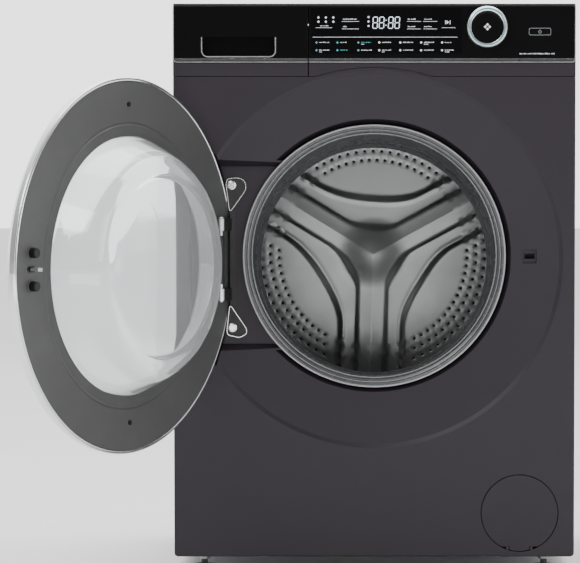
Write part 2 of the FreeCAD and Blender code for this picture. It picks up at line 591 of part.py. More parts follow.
piece("drain_outlet",
      cut("drain_outlet",
          fuse("drain_form", rod("drain_disc", "19", "3", ("drain_x", "cab_depth - 0.7", "drain_z")),
                                               rod("drain_neck", "14.4", "8",
                                                   ("drain_x", "cab_depth - 8", "drain_z")),
                                               rod("drain_spigot", "11", "28",
                                                   ("drain_x", "cab_depth + 2", "drain_z"))),
                          rod("drain_bore", "8", "60", ("drain_x", "cab_depth - 20", "drain_z"))))
piece("cord_gland",
      cut("cord_gland",
          fuse("gland_form", rod("gland_disc", "13", "4", ("gland_x", "cab_depth - 0.7", "gland_z")),
                                           rod("gland_neck", "8.6", "10",
                                               ("gland_x", "cab_depth - 10", "gland_z")),
                                           cone("gland_tail", "8", "5.5", "12",
                                                ("gland_x", "cab_depth + 3", "gland_z"))),
                        rod("gland_bore", "3.6", "60", ("gland_x", "cab_depth - 20", "gland_z"))))

# ---------------------------------------------------------------- gasket
# three rings step down from the porthole's centre to the drum's, with a fold where they meet
gasket_front = turned("gasket_front", [
    ("182", "20"), ("194", "20"), ("195.6", "22"), ("195.6", "port_lip_y + 1"), ("199", "port_lip_y + 1"),
    ("199", "port_lip_y + 5"), ("189", "port_lip_y + 5"), ("187", "46.5"), ("182", "46.5")], "port_z")
gasket_middle = turned("gasket_middle", [
    ("176.5", "45"), ("193", "45"), ("193", "48"), ("182", "48"), ("181", "68.5"), ("176.5", "68.5")],
    "(port_z + gasket_z) / 2")
gasket_rear = turned("gasket_rear", [
    ("171", "67"), ("187", "67"), ("187", "70"), ("176", "70"), ("176", "84"), ("188", "76"), ("190", "78"),
    ("190", "81.6"), ("183.6", "83.6"), ("183.6", "96.5"), ("180", "96.5"), ("180", "94"), ("171", "94")],
                     "gasket_z")
piece("door_gasket", fuse("door_gasket", gasket_front, gasket_middle, gasket_rear))

# ---------------------------------------------------------------- tub
piece("tub_front_half", turned("tub_front_half", [
    ("tub_mouth + 2", "tub_front"), ("tub_mouth + 2", "tub_front + 10"),
                                                  ("tub_mouth + 8", "tub_front + 10"),
    ("tub_inner - 14", "tub_front + tub_wall"), ("tub_inner", "tub_front + 18"),
                                                  ("tub_inner", "tub_split - 0.2"),
    ("tub_radius + 8", "tub_split - 0.2"), ("tub_radius + 8", "tub_split - 8"),
                                                  ("tub_radius", "tub_split - 8"),
    ("tub_radius", "tub_front + 14"), ("tub_inner - 12", "tub_front")], "drum_z"))
tub_shell = turned("tub_shell", [
    ("26", "hub_front"), ("60", "hub_front"), ("80", "tub_back - 4"), ("tub_inner - 6", "tub_back - 4"),
    ("tub_inner", "tub_back - 14"), ("tub_inner", "tub_split + 0.2"), ("tub_radius + 8", "tub_split + 0.2"),
    ("tub_radius + 8", "tub_split + 8"), ("tub_radius", "tub_split + 8"), ("tub_radius", "tub_back - 8"),
    ("tub_inner - 2", "tub_back"), ("78", "tub_back"), ("58", "hub_front + 6"),
                                 ("hub_radius", "hub_front + 6"),
    ("hub_radius", "hub_back"), ("26", "hub_back")], "drum_z")


def tub_lug(name, x, y, z):
    return span(name, (f"{x} - 12", f"{x} + 12"), (f"{y} - 8", f"{y} + 8"), (f"{z} - 12", f"{z} + 12"))


tub_extras = fuse("tub_extras", *[
    tub_lug(f"{kind}_lug_{i}", f"{sign}{kind}_x", f"{kind}_y", z)
    for kind, z in (("spring", "spring_low - 12.4"), ("damper", "272")) for i,
                                  sign in enumerate(("-", ""))],
    rod("sump", "24", "262 - sump_low", ("sump_x", "sump_y", "sump_low"), "Z"))
tub_inside = rod("tub_inside", "tub_inner + 0.5", "tub_back - 14 - tub_split", ("0", "tub_split", "drum_z"))
tub_lugged = fuse("tub_lugged", tub_shell, cut("tub_extras_trimmed", tub_extras, tub_inside))
heater_ways = [rod(f"heater_way_{i}", "heater_wire + 0.1", "30",
                   (f"{sign}heater_half", "tub_back - 20", "drum_z - heater_drop"))
               for i, sign in enumerate(("-", ""))]
piece("tub_rear_half", cut("tub_rear_half", tub_lugged, *heater_ways,
                           rod("sump_bore", "20", "260 - sump_low + 4",
                               ("sump_x", "sump_y", "sump_low - 4"), "Z")))
piece("drum_bearings", group("drum_bearings",
                             tube("front_bearing", "25.9", "shaft_radius + 0.05", "17",
                                  ("0", "hub_front + 10", "drum_z")),
                             tube("rear_bearing", "25.9", "shaft_radius + 0.05", "16",
                                  ("0", "hub_back - 17", "drum_z"))))


def weight(name, low_angle_z, high):
    """A cast block that follows the tub's front over an arc."""
    ring = tube(name + "_ring", "274", "206", "30", ("0", "52", "drum_z"))
    side = span(name + "_side", ("-165", "165"), ("40", "100"), (low_angle_z, high))
    return common(name, ring, side)


piece("counterweights", group("counterweights", weight("upper_weight", "drum_z + 150", "drum_z + 280"),
                              weight("lower_weight", "drum_z - 262", "drum_z - 165")))

heater_legs = [rod(f"heater_leg_{i}", "heater_wire", "200",
                   (f"{sign}heater_half", "200", "drum_z - heater_drop"))
               for i, sign in enumerate(("-", ""))]
heater_bend = doc.addObject("Part::Torus", "heater_bend")
bind(heater_bend, "Radius1", "heater_half")
bind(heater_bend, "Radius2", "heater_wire")
place(heater_bend, ("0", "200", "drum_z - heater_drop"))
heater_bound = span("heater_bound", ("-30", "30"), ("150", "200"), ("drum_z - 300", "drum_z - 250"))
heater_plug = span("heater_plug", ("-28", "28"), ("tub_back + 0.4", "tub_back + 22"),
                   ("drum_z - 278", "drum_z - 258"))
piece("heater", fuse("heater", *heater_legs, common("heater_turn", heater_bend, heater_bound), heater_plug))

# ---------------------------------------------------------------- suspension
def coil_spring(name, x):
    """A tension spring that hangs a tub lug from the cabinet's side."""
    helix = doc.addObject("Part::Helix", name + "_line")
    bind(helix, "Pitch", "coil_pitch")
    bind(helix, "Height", "coil_pitch * coil_turns")
    bind(helix, "Radius", "coil_radius")
    ring = doc.addObject("Part::Circle", name + "_wire")
    bind(ring, "Radius", "spring_wire")
    ring.Placement.Rotation = FreeCAD.Rotation(FreeCAD.Vector(1, 0, 0), 90)
    place(ring, ("coil_radius", "0", "0"))
    coil = doc.addObject("Part::Sweep", name + "_coil")
    coil.Sections = [ring]
    coil.Spine = (helix, ["Edge1"])
    coil.Solid = True
    coil.Frenet = True
    coil_low = "(spring_top + spring_low - coil_pitch * coil_turns) / 2"
    place(coil, (x, "spring_y", coil_low))
    end = f"{x} + coil_radius"
    hook_long = f"{coil_low} - spring_low - spring_wire - 0.2"
    hook_top = f"spring_top - ({hook_long})"
    return [coil, rod(name + "_low_hook", "spring_wire", hook_long, (end, "spring_y", "spring_low"), "Z"),
            rod(name + "_top_hook", "spring_wire", hook_long, (end, "spring_y", hook_top), "Z")]


piece("suspension_springs", group("suspension_springs", *coil_spring("left_spring", "-spring_x"),
                                  *coil_spring("right_spring", "spring_x")))


def damper(name, x):
    """A friction damper: a cylinder on a foot, and the rod that slides in it."""
    cylinder = fuse(name + "_cylinder", tube(name + "_tube", "13", "9", "118", (x, "damper_y", "64"), "Z"),
                    rod(name + "_end", "13", "6", (x, "damper_y", "58"), "Z"),
                    span(name + "_foot", (f"{x} - 14", f"{x} + 14"), ("damper_y - 14", "damper_y + 14"),
                         (FLOOR_Z + " + 3", "59")))
    plunger = fuse(name + "_plunger", rod(name + "_piston", "8.6", "14", (x, "damper_y", "130"), "Z"),
                   rod(name + "_rod", "5", "118", (x, "damper_y", "141.5"), "Z"))
    return [cylinder, plunger]


piece("dampers", group("dampers", *damper("left_damper", "-damper_x"), *damper("right_damper", "damper_x")))

# ---------------------------------------------------------------- motor
stator_ring = tube("stator_ring", "stator_outer - 14", "hub_radius + 2", "18",
                   ("0", "hub_front + 28", "drum_z"))
teeth = []
for i in range(18):
    tooth = box(f"tooth_{i}", ("22", "18", "9"), ("0", "hub_front + 28", "0"))
    teeth.append(tooth)
    turn = FreeCAD.Rotation(FreeCAD.Vector(0, 1, 0), 20 * i)
    reach = turn.multVec(FreeCAD.Vector(number("stator_outer") - 22, 0, -4.5))
    tooth.Placement.Rotation = turn
    place(tooth, (f"{reach.x:.4f}", "hub_front + 28", f"drum_z + ({reach.z:.4f})"))
piece("motor_stator", fuse("motor_stator", stator_ring, *teeth))
piece("motor_rotor", turned("motor_rotor", [
    ("shaft_radius", "hub_back + 3"), ("shaft_radius", "hub_back + 14"), ("30", "hub_back + 14"),
    ("36", "hub_back + 8"), ("rotor_radius", "hub_back + 8"), ("rotor_radius", "tub_back + 4"),
    ("stator_outer + 1.2", "tub_back + 4"), ("stator_outer + 1.2", "hub_back + 3")], "drum_z"), "drum")

# ---------------------------------------------------------------- drum
piece("drum_front_ring", turned("drum_front_ring", [
    ("drum_radius", "drum_front + 6"), ("drum_radius - 8", "drum_front"),
                                                    ("mouth_radius + 12", "drum_front - 2"),
    ("mouth_radius + 3", "drum_front"), ("mouth_radius", "drum_front + 4"),
                                                    ("mouth_radius", "drum_front + 12"),
    ("mouth_radius + 1.2", "drum_front + 12"), ("mouth_radius + 1.2", "drum_front + 4.6"),
    ("mouth_radius + 4", "drum_front + 1.4"), ("mouth_radius + 12", "drum_front - 0.6"),
    ("drum_radius - 8.5", "drum_front + 1.3"), ("drum_radius - 1.2", "drum_front + 6.6"),
    ("drum_radius - 1.2", "drum_front + 9.8"), ("drum_radius", "drum_front + 9.8")], "drum_z"), "drum")
piece("drum_shell",
      tube("drum_shell", "drum_radius", "drum_radius - drum_skin", "drum_back - drum_front - 10",
                         ("0", "drum_front + 10", "drum_z")), "drum")
piece("drum_back", turned("drum_back", [
    ("0", "drum_back - 22"), ("40", "drum_back - 20"), ("70", "drum_back - 14"), ("205", "drum_back - 14"),
    ("222", "drum_back - 4"), ("drum_radius - 1.4", "drum_back - 4"),
                                        ("drum_radius - 1.4", "drum_back - 1"),
    ("220", "drum_back - 1"), ("203", "drum_back - 12"), ("71", "drum_back - 12"), ("41", "drum_back - 18"),
    ("0", "drum_back - 20")], "drum_z"), "drum")


def lifter(name, degrees):
    """A hollow paddle along the drum's wall."""
    profile = turned(name + "_form",
                     [("drum_radius - 48", "drum_front + 70"), ("drum_radius - 1.4", "drum_front + 40"),
                                      ("drum_radius - 1.4", "drum_back - 34"),
                      ("drum_radius - 48", "drum_back - 60")],
                     "0", 9)
    turn = FreeCAD.Rotation(FreeCAD.Vector(0, 1, 0), degrees)
    profile.Placement.Rotation = turn
    place(profile, ("0", "0", "drum_z"))
    return profile


piece("drum_lifters", group("drum_lifters", *[lifter(f"lifter_{i}", 120 * i + 24) for i in range(3)]),
      "drum")


def spoke(name, length, width, low, high, turn):
    """A bar that reaches outwards from near the shaft, turned about the drum's axis."""
    bar = box(name, (length, f"{high} - ({low})", width), ("0", "0", "0"))
    corner = turn.multVec(FreeCAD.Vector(20, 0, -number(width) / 2))
    bar.Placement.Rotation = turn
    place(bar, (f"{corner.x:.4f}", low, f"drum_z + ({corner.z:.4f})"))
    return bar


arms = []
for i in range(3):
    turn = FreeCAD.Rotation(FreeCAD.Vector(0, 1, 0), 120 * i + 90)
    arms.append(spoke(f"spider_arm_{i}", "214", "36", "drum_back - 0.9", "hub_front - 1", turn))
    arms.append(spoke(f"spider_rib_{i}", "170", "14", "drum_back - 11.9", "drum_back", turn))
spider_hub = turned("spider_hub", [
    ("0", "drum_back - 11.9"), ("36", "drum_back - 11.9"), ("42", "hub_front - 1"),
                                   ("shaft_radius", "hub_front - 1"),
    ("shaft_radius", "hub_back + 22"), ("0", "hub_back + 22")], "drum_z")
piece("drum_spider", fuse("drum_spider", spider_hub, *arms), "drum")

# ---------------------------------------------------------------- filter, pump and flap
bezel_ring = tube("bezel_ring", "flap_hole + 5", "flap_hole + 1", "24",
                  ("flap_x", "front_skin + 0.3", "flap_z"))
bezel_back = tube("bezel_back", "flap_hole + 5", "filter_radius + 0.5", "2", ("flap_x", "24.3", "flap_z"))
ears = [span(f"flap_ear_{i}", (f"flap_x + ({x})", f"flap_x + ({x}) + 3"), ("1", "8"),
             ("35.4", "flap_axis_z + 2.6"))
        for i, x in enumerate(("-19.5", "16.5"))]
skin_room = tube("skin_room", "flap_hole + 10", "flap_hole - 0.2", "3",
                 ("flap_x", "front_skin - 2.7", "flap_z"))
pin_way = rod("pin_way", "flap_pin + 0.05", "60", ("flap_x - 30", "flap_axis_y", "flap_axis_z"), "X")
piece("filter_bezel",
      cut("filter_bezel", fuse("bezel_form", bezel_ring, bezel_back, *ears), pin_way, skin_room))
flap_disc = rounded("flap_disc", rod("flap_plate", "flap_radius", "flap_thick", ("flap_x", "0", "flap_z")),
                    "0.5",
                    lambda e: lies_at(e, "y", "0"))
flap_knuckle = rod("flap_knuckle", "flap_pin", "39", ("flap_x - 19.5", "flap_axis_y", "flap_axis_z"), "X")
flap_lug = span("flap_lug", ("flap_x - 14", "flap_x + 14"), ("1", "flap_axis_y"),
                ("flap_axis_z - 1.2", "flap_axis_z + 3"))
flap_notches = [span(f"flap_notch_{i}", (f"flap_x + ({low})", f"flap_x + ({high})"), ("-2", "5"),
                     ("30", "flap_axis_z + 3.2"))
                for i, (low, high) in enumerate((("-30", "-14.3"), ("14.3", "30")))]
piece("filter_flap",
      fuse("filter_flap", cut("flap_notched", flap_disc, *flap_notches), flap_knuckle, flap_lug),
      "filter_flap")

housing_form = fuse("housing_form",
                    rod("housing_tube", "filter_radius", "filter_back - filter_front",
                        ("flap_x", "filter_front + 0.4", "flap_z")),
                    rod("housing_spout", "hose_radius", "34", ("flap_x", "spout_y", "flap_z + 18"), "Z"))
housing_bore = rod("housing_bore", "filter_radius - 2.5", "filter_back - filter_front - 3",
                   ("flap_x", "filter_front", "flap_z"))
chamber = rod("chamber", "impeller_radius + 1.5", "19", ("flap_x", "filter_back - 6", "flap_z"))
spout_bore = rod("spout_way", "12", "50", ("flap_x", "spout_y", "flap_z + 10"), "Z")
shaft_way = rod("shaft_way", "2.6", "40", ("flap_x", "filter_back", "flap_z"))
piece("filter_housing",
      cut("filter_housing",
          fuse("housing_full", housing_form, rod("chamber_wall", "impeller_radius + 5", "18",
                                                                                     ("flap_x",
                                                                                      "filter_back - 1",
                                                                                      "flap_z"))),
                            housing_bore, chamber, spout_bore, shaft_way))
cap_disc = rod("cap_disc", "cap_radius", "16", ("flap_x", "filter_front - 4", "flap_z"))
cap_grip = span("cap_grip", ("flap_x - 3.5", "flap_x + 3.5"), ("filter_front - 17", "filter_front - 3"),
                ("flap_z - 22", "flap_z + 22"))
cage = tube("filter_cage", "20", "18", "40", ("flap_x", "filter_front + 11", "flap_z"))
piece("filter_cap",
      fuse("filter_cap", cap_disc,
           rounded("cap_grip_soft", cap_grip, "3", lambda e: lies_at(e, "y", "filter_front - 17")),
                         cage), "filter_cap")
vanes = [span("vane_level", ("flap_x - impeller_radius", "flap_x + impeller_radius"),
              ("filter_back - 4", "filter_back + 8"),
              ("flap_z - 1.5", "flap_z + 1.5")),
         span("vane_upright", ("flap_x - 1.5", "flap_x + 1.5"), ("filter_back - 4", "filter_back + 8"),
              ("flap_z - impeller_radius", "flap_z + impeller_radius"))]
piece("pump_impeller",
      fuse("pump_impeller", rod("impeller_hub", "6", "12", ("flap_x", "filter_back - 4", "flap_z")),
                            rod("impeller_shaft", "2", "30", ("flap_x", "filter_back + 6", "flap_z")),
           *vanes), "pump_impeller")
piece("drain_pump",
      cut("drain_pump",
          fuse("pump_form", rod("pump_can", "26", "58", ("flap_x", "filter_back + 17.2", "flap_z")),
                                           span("pump_plug", ("flap_x - 12", "flap_x + 12"),
                                                ("filter_back + 40", "filter_back + 60"),
                                                ("flap_z + 20", "flap_z + 36"))),
                        rod("pump_bore", "2.05", "26", ("flap_x", "filter_back + 16", "flap_z"))))
# ---------------------------------------------------------------- electrics
lock_body = span("lock_body", ("lock_x - 16", "lock_x + 20"), ("lock_floor + 1.8", "46"),
                 ("lock_z - 34", "lock_z + 34"))
lock_cave = span("lock_cave", ("lock_x - slot_wide / 2 - 1", "lock_x + slot_wide / 2 + 1"), ("0", "34"),
                 ("lock_z - slot_high / 2 - 1", "lock_z + slot_high / 2 + 1"))
piece("door_lock", cut("door_lock", lock_body, lock_cave))

# ---------------------------------------------------------------- hinge, on the cabinet's side
def ear(name, points, low):
    return plate(name, points, low, "2")


ear_up = ear("ear_up",
             [("-215", "door_z + 68"), ("-189", "door_z + 104"), ("-192", "door_z + 118"),
              ("-203", "door_z + 122"),
                        ("-219", "door_z + 120"), ("-221", "door_z + 112")], "hollow_y - 2.1")
ear_down = ear("ear_down",
               [("-215", "door_z - 66"), ("-220", "door_z - 108"), ("-218", "door_z - 114"),
                ("-200", "door_z - 118"),
                            ("-189", "door_z - 112"), ("-189", "door_z - 104")], "hollow_y - 2.1")
bridge = span("bridge", ("-214.6", "-207"), ("hollow_y - 2.1", "hollow_y - 0.1"),
              ("door_z - 70", "door_z + 72"))
WEB_DEGREES = -33
lugs_fixed = []
for i, sign in enumerate(("-", "+")):
    centre = f"door_z {sign} knuckle_gap"
    arm = box(f"hinge_web_{i}", ("3", "24", "knuckle_long"), ("0", "0", "0"))
    arm.Placement.Rotation = FreeCAD.Rotation(FreeCAD.Vector(0, 0, 1), WEB_DEGREES)
    place(arm, ("-hinge_x - 0.4", "1.6", f"{centre} - knuckle_long / 2"))
    lugs_fixed.append(arm)
    lugs_fixed.append(rod(f"barrel_{i}", "knuckle_radius", "knuckle_long",
                          ("-hinge_x", "hinge_y", f"{centre} - knuckle_long / 2"), "Z"))
pin_hole = rod("pin_hole", "pin_radius", "200", ("-hinge_x", "hinge_y", "door_z - 100"), "Z")
piece("hinge_bracket",
      cut("hinge_bracket", fuse("bracket_form", ear_up, ear_down, bridge, *lugs_fixed), pin_hole))
piece("hinge_pin", fuse("hinge_pin", rod("pin_shank", "pin_radius", "2 * knuckle_gap + knuckle_long + 3",
                                         ("-hinge_x", "hinge_y",
                                          "door_z - knuckle_gap - knuckle_long / 2 - 1.5"), "Z"),
                        rod("pin_head", "4.4", "2",
                            ("-hinge_x", "hinge_y", "door_z + knuckle_gap + knuckle_long / 2 + 0.1"), "Z")))
piece("hinge_screws", group("hinge_screws", *[
    rod(f"hinge_screw_{i}", "4.6", "2.4", (x, "hollow_y - 4.6", z)) for i, (x, z) in enumerate(
        (("-212", "door_z + 110"), ("-211", "door_z - 102")))]))

# ---------------------------------------------------------------- door, drawn closed
ring_form = turned("ring_form", [
    ("bowl_seat - 2", "-door_y"), ("200", "-door_y"), ("201.2", "-door_y - 0.9"),
                                 ("203.2", "-door_y - 0.9"),
    ("204.4", "-door_y"), ("ring_radius", "-door_y"), ("ring_radius", "-door_y - 12"),
                                 ("ring_radius - 2.6", "-door_y - 12"),
    ("ring_radius - 2.6", "-door_y - ring_thick"), ("bowl_seat - 2", "-door_y - ring_thick")], "door_z")
knuckle_room = [rod(f"knuckle_room_{i}", "knuckle_radius + 1.2", "knuckle_long + 4",
                    ("-hinge_x", "hinge_y", f"door_z {sign} knuckle_gap - knuckle_long / 2 - 2"), "Z")
                for i, sign in enumerate(("-", "+"))]
arm_room = span("arm_room", ("-hinge_x - 12", "-hinge_x + 6"), ("-30", "10"),
                ("door_z - 38", "door_z + 38"))
hook_case = span("hook_case", ("hook_x - 16", "hook_x + 16"), ("-door_y - 12.7", "-door_y - 1"),
                 ("hook_z - 14", "hook_z + 14"))
hook_cave = span("hook_cave", ("hook_x - 9", "hook_x + 8"), ("-30", "5"), ("hook_z - 4.5", "hook_z + 4.5"))
hook_bore = rod("hook_bore", "hook_pin + 0.05", "40", ("hook_x", "-hook_pivot_y", "hook_z - 20"), "Z")
piece("door_inner_ring",
      cut("door_inner_ring", fuse("ring_full", ring_form, hook_case), arm_room, hook_cave, hook_bore,
                             *knuckle_room), "door")
rim_points = [
    ("ring_radius + 0.1", "-door_y - 0.4"), ("rim_radius - 0.6", "-door_y - 0.4"),
              ("rim_radius", "-door_y - 1.4"),
    ("rim_radius", "-door_y - 8"), ("rim_radius - 1.4", "-door_y - 12"),
              ("rim_radius - 5.2", "-door_y - 15.6"),
    ("rim_radius - 11", "-door_y - 17.8"), ("rim_radius - 19", "-door_y - 19"),
              ("window_radius + 0.3", "-door_y - 19.6"),
    ("window_radius + 0.3", "-door_y - 16"), ("236", "-door_y - 16"), ("236", "-door_y - 13"),
    ("ring_radius + 0.1", "-door_y - 13")]
piece("door_rim", turned("door_rim", rim_points, "door_z"), "door")
piece("door_window", turned("door_window", [
    ("0", "-door_y - 26"), ("120", "-door_y - 25"), ("200", "-door_y - 22.2"),
                                            ("window_radius", "-door_y - 19.2"),
    ("window_radius", "-door_y - 16.2"), ("200", "-door_y - 19"), ("120", "-door_y - 21.8"),
                                            ("0", "-door_y - 22.8")],
    "door_z"), "door")
piece("door_glass", turned("door_glass", [
    ("bowl_seat + 6", "-door_y - 3.4"), ("bowl_seat + 6", "-door_y - 7"), ("180", "-door_y - 7"),
                                          ("176", "-door_y"),
    ("166", "20"), ("152", "43"), ("143", "52"), ("128", "56"), ("60", "58.6"), ("0", "59"),
    ("0", "63"), ("62", "62.6"), ("132", "60"), ("148", "55"), ("157", "45"), ("170.5", "22"),
                                          ("181", "-door_y + 4"),
    ("184", "-door_y - 3.4")], "door_z"), "door")
arm_plate = span("arm_plate", ("-hinge_x - 10", "-hinge_x + 31"),
                 ("-door_y - ring_thick - 3.2", "-door_y - ring_thick - 0.2"),
                 ("door_z - 60", "door_z + 60"))
arm_web = span("arm_web", ("-hinge_x - 3", "-hinge_x + 3"), ("-door_y - 8", "hinge_y"),
               ("door_z - 36", "door_z + 36"))
arm_knuckle = rod("arm_knuckle", "knuckle_radius - 0.5", "72", ("-hinge_x", "hinge_y", "door_z - 36"), "Z")
arm_bore = rod("arm_bore", "pin_radius + pin_fit", "90", ("-hinge_x", "hinge_y", "door_z - 45"), "Z")
piece("door_arm", cut("door_arm", fuse("arm_form", arm_plate, arm_web, arm_knuckle), arm_bore), "door")
piece("door_bumpers", group("door_bumpers", *[
    rounded(f"bumper_{i}",
            rod(f"bumper_form_{i}", "bumper_radius", "bumper_long", ("bumper_x", "-door_y", z)), "1.5",
            lambda e: lies_at(e, "y", "-door_y + bumper_long"))
    for i, z in enumerate(("door_z + bumper_high", "door_z - bumper_low"))]), "door")
piece("door_screws", group("door_screws", *[
    rod(f"door_screw_{i}", "3.4", "1.6", ("0", "-door_y", z)) for i,
                                            z in enumerate(("door_z + 229.6", "door_z - 223.4"))]),
    "door")
hook_blade = plate("hook_blade", [
    ("hook_x - 4", "-hook_pivot_y - 4"), ("hook_x + 4", "-hook_pivot_y - 4"), ("hook_x + 3", "10"),
                                  ("hook_x + 1", "16"),
    ("hook_x - 4.5", "11"), ("hook_x - 4.5", "9"), ("hook_x - 1.5", "9"),
                                  ("hook_x - 2.5", "-hook_pivot_y + 6")],
    "hook_z - 2.5", "5", "XY_Plane")
hook_pivot = rod("hook_pivot", "hook_pin", "26", ("hook_x", "-hook_pivot_y", "hook_z - 13"), "Z")
piece("latch_hook", fuse("latch_hook", hook_blade, hook_pivot), "latch_hook")

# ---------------------------------------------------------------- feet
piece("levelling_feet", group("levelling_feet", *[
    fuse(f"foot_{i}", rod(f"foot_pad_{i}", "foot_radius", "foot_thick", (x, y, "0"), "Z"),
         rod(f"foot_stem_{i}", "foot_stem", "foot_top - foot_thick + 1", (x, y, "foot_thick - 1"), "Z"))
    for i, (x, y) in enumerate(feet_at)]))
nuts = []
for i, (x, y) in enumerate(feet_at):
    prism = doc.addObject("Part::Prism", f"nut_prism_{i}")
    prism.Polygon = 6
    bind(prism, "Circumradius", "nut_radius")
    bind(prism, "Height", "nut_thick")
    place(prism, (x, y, "nut_low"))
    nuts.append(cut(f"nut_{i}", prism, rod(f"nut_bore_{i}", "foot_stem", "20", (x, y, "nut_low - 5"), "Z")))
piece("foot_nuts", group("foot_nuts", *nuts))

# ---------------------------------------------------------------- places, checks and files
OPEN_DEGREES = -121.4
doc.recompute()
shift = FreeCAD.Placement(FreeCAD.Vector(0, -number("origin_y"), 0), FreeCAD.Rotation())
hinge = FreeCAD.Vector(-number("hinge_x"), number("hinge_y"), 0)
swing = FreeCAD.Placement(FreeCAD.Vector(), FreeCAD.Rotation(FreeCAD.Vector(0, 0, 1), OPEN_DEGREES), hinge)
for label, obj, body in PIECES:
    obj.Visibility = True
    for prop, text in list(obj.ExpressionEngine):
        if prop.lstrip(".").startswith("Placement"):
            obj.setExpression(prop, None)
    opened = swing.multiply(obj.Placement) if body in ("door", "latch_hook") else obj.Placement
    obj.Placement = shift.multiply(opened)
doc.recompute()

for obj in doc.Objects:
    if "Invalid" in obj.State or "Error" in obj.State:
        raise RuntimeError(f"{obj.Name} failed: {obj.State}")
os.makedirs("parts", exist_ok=True)
for label, obj, body in PIECES:
    if obj.Shape.isNull() or not obj.Shape.isValid() or not obj.Shape.Solids:
        raise RuntimeError(f"{label} has no valid solid")
    obj.Shape.exportStep(f"parts/{label}.step")
    print(f"{label:20s} {body:14s} solids {len(obj.Shape.Solids)} volume {obj.Shape.Volume / 1000:9.1f} cm3")
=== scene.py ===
import json
import math
import random

import bmesh
import bpy
from mathutils import Matrix, Vector


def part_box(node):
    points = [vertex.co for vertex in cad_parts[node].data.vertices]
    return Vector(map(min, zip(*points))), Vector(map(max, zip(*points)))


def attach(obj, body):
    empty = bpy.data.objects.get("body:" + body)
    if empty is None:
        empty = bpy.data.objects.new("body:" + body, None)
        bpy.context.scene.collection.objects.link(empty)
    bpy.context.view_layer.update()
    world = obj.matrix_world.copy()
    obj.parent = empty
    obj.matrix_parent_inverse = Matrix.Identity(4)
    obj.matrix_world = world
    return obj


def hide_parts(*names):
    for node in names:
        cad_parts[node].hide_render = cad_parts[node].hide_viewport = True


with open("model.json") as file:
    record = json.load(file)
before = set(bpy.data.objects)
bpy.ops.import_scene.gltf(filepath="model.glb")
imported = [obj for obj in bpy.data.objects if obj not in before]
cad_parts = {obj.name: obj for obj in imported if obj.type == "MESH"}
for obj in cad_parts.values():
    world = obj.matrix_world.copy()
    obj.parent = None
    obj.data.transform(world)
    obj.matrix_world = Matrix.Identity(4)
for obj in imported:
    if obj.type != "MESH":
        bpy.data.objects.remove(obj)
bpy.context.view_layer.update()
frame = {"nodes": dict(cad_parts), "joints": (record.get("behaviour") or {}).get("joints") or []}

# ------------------------------------------------------------------ facts read from the frame
MM = 0.001
ROUND_STEPS = 240  # sides of the large turned pieces
NODES = frame["nodes"]
JOINTS = {joint["name"]: joint for joint in frame["joints"]}
HINGE = Vector(JOINTS["door_hinge"]["pos_m"])
OPEN_ANGLE = math.radians(JOINTS["door_hinge"]["range_deg"][1])
OPENING = Matrix.Translation(HINGE) @ Matrix.Rotation(-OPEN_ANGLE, 4, "Z") @ Matrix.Translation(-HINGE)


def middle(node):
    """The middle of a node's box."""
    low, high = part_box(node)
    return (low + high) / 2


# the points on the front plane that the turned pieces are drawn about
FRONT_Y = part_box("front_panel")[0].y
DOOR_CENTRE = Vector((0, FRONT_Y, middle("door_rim").z))
PORT_CENTRE = Vector((0, FRONT_Y, middle("door_gasket").z))
DRUM_CENTRE = Vector((0, FRONT_Y, JOINTS["drum_spin"]["pos_m"][2]))
DIAL_CENTRE = Vector((middle("dial").x, FRONT_Y, middle("dial").z))
POWER_CENTRE = middle("power_button")


# ------------------------------------------------------------------ materials
def shader_of(name):
    """A new material with its nodes, its links and its Principled shader."""
    mat = bpy.data.materials.new(name)
    mat.use_nodes = True
    return mat, mat.node_tree.nodes, mat.node_tree.links, mat.node_tree.nodes["Principled BSDF"]


def noise_node(nodes, links, scale, detail=3.0, stretch=(1, 1, 1)):
    """A noise over the object's own coordinates. Gives the socket of its value."""
    coords = nodes.new("ShaderNodeTexCoord")
    mapping = nodes.new("ShaderNodeMapping")
    mapping.inputs["Scale"].default_value = stretch
    noise = nodes.new("ShaderNodeTexNoise")
    noise.inputs["Scale"].default_value = scale
    noise.inputs["Detail"].default_value = detail
    links.new(coords.outputs["Object"], mapping.inputs["Vector"])
    links.new(mapping.outputs["Vector"], noise.inputs["Vector"])
    return noise.outputs["Fac"]


